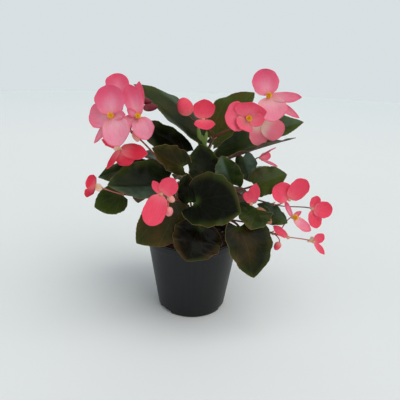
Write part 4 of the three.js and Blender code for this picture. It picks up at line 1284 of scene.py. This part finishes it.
def leaf_upper(g, light, bronzed, painted_sheen, vein, cloud, reach, edge):
    """The colour of a leaf's upper side: paler near its rim, green at its hub, greyed by a painted sheen."""
    lit = g.step(light, 0, 1)
    top = g.mix(bronzed, g.mix(lit, "#0b1007", "#43561f"), g.mix(lit, "#0e0b06", "#54421d"))
    band = g.step(edge, 1, 11, 0.6, 0) * g.step(reach, 14, 40) * g.step(cloud, 0.3, 0.6, 0.5, 1)
    top = g.mix(band, top, g.mix(bronzed, "#45561f", "#4e3b1b"))
    top = g.mix(g.step(reach, 1, 10, 0.45, 0), top, "#3f5a1c")
    top = g.mix(vein * g.step(light, 0, 1, 0.03, 0.35), top, "#66702f")
    # Painted sheen: grey-green patches that stand in for light reflected off the glossy leaf.
    return g.mix(painted_sheen * g.step(g.noise(75, 4), 0.3, 0.7, 0.3, 0.85), top, "#5d7062")


def leaf_relief(g, main, branch):
    """Sunken veins in a finely grained skin."""
    cells = g.add("TexVoronoi", "Distance", feature="DISTANCE_TO_EDGE", Scale=650, Vector=g.point())
    sunk = g.bump(g.step(branch, 0, 0.9), 0.12, 0.0003, Normal=g.bump(cells, 0.06, 0.0003))
    return g.bump(g.step(main, 0, 1.1), 0.14, 0.0004, Normal=sunk)


def leaf_material():
    """Glossy bronze-green above and dull red-brown below, with faint veins and a thin rusty margin."""
    g = Graph(bpy.data.materials.new("leaf_skin"))
    x, y, edge = g.axes(g.field("place", "Vector"))
    # The tint holds each leaf's seed, its lightness and its share of painted sheen.
    seed, light, painted_sheen = g.axes(g.field("tint", "Vector"))
    upper = g.field("face")
    main, branch, reach = vein_distances(g, x, y, seed)
    vein = g.math("MAXIMUM", g.step(main, 0.1, 0.7, 1, 0), g.step(branch, 0.1, 0.5, 0.4, 0))
    cloud = g.noise(34)
    patch = cloud - 0.5
    light = light + patch * 0.8 + g.step(reach, 20, 80, -0.05, 0.15)
    bronzed = g.step(g.field("tone") + patch * 1.2, 0.2, 0.8)
    top = leaf_upper(g, light, bronzed, painted_sheen, vein, cloud, reach, edge)
    under = g.mix(vein * 0.6, g.mix(g.step(cloud, 0.35, 0.65), "#54302a", "#4a4430"), "#8e5449")
    rust = g.mix(g.step(cloud, 0.4, 0.6), "#86784a", "#84604a")
    colour = g.mix(g.step(edge, 0.2, 0.7, 0.62, 0), g.mix(upper, under, top), rust)
    rough = g.noise(60) * 0.12 + 0.22 + painted_sheen * 0.15 + (1 - upper) * 0.3
    return g.finish(Base_Color=colour, Roughness=rough, Normal=leaf_relief(g, main, branch),
                    Specular_IOR_Level=0.08, Subsurface_Weight=0.03, Subsurface_Radius=(0.3, 0.6, 0.1),
                    Subsurface_Scale=0.002)


def petal_front(g, along, across, edge, streak, young, pale, throat_and_glow):
    """The colour of a petal's inner side: pale along its middle, rosier at its foot and its margin, and
    lifted by a warm throat colour mixed with a painted glow.
    """
    inner = g.mix(g.step(along, 0.1, 0.85), "#e47a97", "#dc5277")
    centre = g.step(abs(across), 0, 0.75, 1, 0) * g.step(along, 0.15, 0.9, 0.6, 0)
    inner = g.mix(centre, inner, "#efb6c4")
    inner = g.mix(pale * (0.6 - young * 0.6), inner, "#ecb4c4")
    inner = g.mix(g.step(streak, 0.4, 0.7, 0, 0.4), inner, "#db5f80")
    inner = g.mix(g.step(edge, 0.2, 4.5, 0.7, 0), inner, "#df4a6b")
    inner = g.mix(g.step(along, 0.03, 0.3, 0.6, 0), inner, "#ee7a84")
    ripe = g.mix(g.step(along, 0, 0.35), "#f0747f", "#f04c66")
    ripe = g.mix(g.step(streak, 0.4, 0.7, 0, 0.45), ripe, "#d8344e")
    inner = g.mix(g.step(young, 0, 0.8, 0, 0.9), inner, ripe)
    # A warm cream-to-pink colour: partly the throat's own colour, and partly a painted glow that stands in
    # for light shining through the petal.
    warm = g.mix(g.step(along, 0.15, 0.55), "#ffe6cc", "#ff8496")
    return g.mix(throat_and_glow * 0.75, inner, warm)


def petal_back(g, along, edge, streak, young):
    """The colour of a petal's outer side: coral at its foot and red where it is unripe."""
    outer = g.mix(g.step(young, 0.2, 0.6), "#e4607a", "#dc324b")
    outer = g.mix(g.step(along, 0, 0.6, 1, 0), outer, "#e67b81")
    outer = g.mix(g.step(streak, 0.4, 0.7, 0, 0.35), outer, "#d83450")
    return g.mix(g.step(edge, 0.2, 3, 0.35, 0), outer, "#f4748a")


def petal_material():
    """Soft pink petals with faint streaks along them and pale hairs."""
    g = Graph(bpy.data.materials.new("petal_skin"))
    across, along, edge = g.axes(g.field("place", "Vector"))
    seed, pale, throat_and_glow = g.axes(g.field("tint", "Vector"))
    young, front = g.field("tone"), g.field("face")
    lanes = g.add("CombineXYZ", X=seed * 9 + across * 7, Y=along * 1.2)
    streak = g.noise(2.2, 3, lanes, 0.6)
    hair = g.noise(6.5, 2, lanes, 0.6)
    cloud = g.noise(60)
    colour = g.mix(front, petal_back(g, along, edge, streak, young),
                   petal_front(g, along, across, edge, streak, young, pale, throat_and_glow))
    soft = g.step(young, 0, 1, 1, 0.2) * g.step(front, 0, 1, 0.3, 1)
    colour = g.mix(soft * g.step(hair, 0.5, 0.75, 0, 0.18), colour, "#f8bcc6")
    colour = g.mix(soft * g.step(cloud, 0.4, 0.75, 0, 0.1), colour, "#f6b9c6")
    fine = g.bump(g.noise(900, 2), 0.1, 0.0002)
    ribs = g.bump(hair, 0.3, 0.0003, Normal=g.bump(streak, 0.35, 0.0006, Normal=fine))
    return g.finish(Base_Color=colour, Roughness=cloud * 0.2 + 0.42, Normal=ribs, Specular_IOR_Level=0.1,
                    Subsurface_Weight=0.5, Subsurface_Radius=(1.0, 0.5, 0.4), Subsurface_Scale=0.001)


def stalk_material():
    """Fleshy stalks, from green to red-brown, with short pale streaks along them."""
    g = Graph(bpy.data.materials.new("stalk_skin"))
    x, y, z = g.axes(g.point())
    streak = g.noise(420, 3, g.add("CombineXYZ", X=x, Y=y, Z=z * 0.25))
    red = g.field("tone") + (g.noise(45) - 0.5) * 0.5
    colour = g.mix(g.step(red, 0.1, 0.5), "#7f9a44", "#6d5a33")
    colour = g.mix(g.step(red, 0.4, 0.85), colour, "#6a2822")
    colour = g.mix(g.step(red, 0.95, 1.3), colour, "#c46a60")
    colour = g.mix(g.step(streak, 0.62, 0.72, 0, 0.5), colour, "#a9835c")
    return g.finish(Base_Color=colour, Roughness=streak * 0.2 + 0.3, Normal=g.bump(streak, 0.2, 0.0003),
                    Subsurface_Weight=0.08, Subsurface_Radius=(0.8, 0.4, 0.15), Subsurface_Scale=0.0015)


def flesh_material():
    """Buds, pods, scales and stamens, each in the colour that its mesh holds."""
    g = Graph(bpy.data.materials.new("flower_flesh"))
    cloud = g.noise(260)
    shade = g.step(cloud, 0.3, 0.7, 0.92, 1.05)
    colour = g.add("HueSaturation", Value=shade, Color=g.field("tint", "Color"))
    return g.finish(Base_Color=colour, Roughness=cloud * 0.25 + 0.32, Normal=g.bump(cloud, 0.2, 0.0003),
                    Specular_IOR_Level=0.25, Subsurface_Weight=0.12, Subsurface_Radius=(1.0, 0.4, 0.25),
                    Subsurface_Scale=0.0015)


def pot_material():
    """Black injection-moulded plastic: satin, faintly drawn down its sides, dusty low down."""
    g = Graph(bpy.data.materials.new("pot_plastic"))
    x, y, z = g.axes(g.point())
    drawn = g.noise(1.4, 4, g.add("CombineXYZ", X=g.arctan2(y, x) * 14, Y=z * 6))
    dust = g.noise(55, 5, rough=0.65)
    colour = g.mix(g.step(drawn, 0.3, 0.7), "#0b0c0e", "#111315")
    colour = g.mix(g.step(dust, 0.55, 0.8) * g.step(z, 0, 0.03, 0.4, 0.08), colour, "#3c3a36")
    skin = g.bump(g.noise(1500, 2), 0.1, 0.0001)
    return g.finish(Base_Color=colour, Roughness=dust * 0.18 + 0.34, Specular_IOR_Level=0.32,
                    Normal=g.bump(drawn, 0.12, 0.0006, Normal=skin))


def soil_material():
    """Dark peat with fibres and a few white grains."""
    g = Graph(bpy.data.materials.new("peat"))
    fibre = g.noise(900, 4)
    colour = g.mix(g.step(g.noise(130, 6, rough=0.7), 0.3, 0.7), "#1c130d", "#3d2c1f")
    colour = g.mix(g.step(fibre, 0.6, 0.75, 0, 0.5), colour, "#6a5038")
    colour = g.mix(g.field("tone"), colour, "#d8d4cb")
    return g.finish(Base_Color=colour, Roughness=0.95, Normal=g.bump(fibre, 0.6, 0.0008),
                    Specular_IOR_Level=0.2)


def floor_material():
    """A pale matt floor that fades into the colour of the horizon."""
    g = Graph(bpy.data.materials.new("studio_floor"))
    x, y, _ = g.axes(g.point())
    colour = g.mix(g.noise(3), "#eef1f0", "#f1f4f3")
    colour = g.mix(g.step(g.sqrt(x * x + y * y), 1, 2.8), colour, "#e8efef")
    return g.finish(Base_Color=colour, Roughness=0.7, Specular_IOR_Level=0.05)


# Stage

def make_floor():
    """The pale round floor, which isn't part of the plant."""
    bpy.ops.mesh.primitive_circle_add(radius=FLOOR_RADIUS, vertices=96, fill_type="NGON")
    floor = bpy.context.object
    floor.name = "studio_floor"
    floor.data.materials.append(floor_material())


def make_light():
    """A pale horizon under a dimmer ceiling, and soft lamps."""
    world = bpy.data.worlds.new("studio")
    bpy.context.scene.world = world
    g = Graph(world, "Background", "OutputWorld")
    height = g.axes(g.add("TexCoord", "Generated"))[2]
    g.finish(Color="#dfe7ea", Strength=g.step(height, 0.1, 0.6, HORIZON, CEILING))
    for name, place, strength, width, colour in LAMPS:
        lamp = bpy.data.lights.new(name, "SUN")
        lamp.energy = strength
        lamp.angle = width * DEG
        lamp.color = srgb(colour)
        new_object(name, lamp).rotation_euler = Vector(place).to_track_quat("Z", "Y").to_euler()


def make_camera():
    """The photograph's viewpoint, with its slight roll."""
    data = bpy.data.cameras.new("camera")
    data.sensor_width = CAMERA_SENSOR
    data.lens = CAMERA_LENS
    camera = new_object("camera", data)
    pitch = Matrix.Rotation((90 - CAMERA_PITCH) * DEG, 4, "X")
    roll = Matrix.Rotation(CAMERA_ROLL * DEG, 4, "Z")
    camera.matrix_world = Matrix.Translation(CAMERA_PLACE) @ pitch @ roll
    bpy.context.scene.camera = camera


draw = random.Random(DRAW_SEED)
looks = {
    "leaf": leaf_material(), "petal": petal_material(), "stalk": stalk_material(),
    "flesh": flesh_material(), "pot": pot_material(), "soil": soil_material(),
}
make_camera()
make_floor()
make_light()
make_pot()
make_soil()
make_stems()
make_shoot()
for number, name in enumerate(LEAVES):
    make_leaf(name, number)
for number, name in enumerate(BLOOMS):
    make_bloom(name, number)
for name in WITH_STAMENS:
    make_stamens(name)
for name in SPRAYS:
    make_spray(name)
bpy.context.scene.view_settings.view_transform = "Standard"
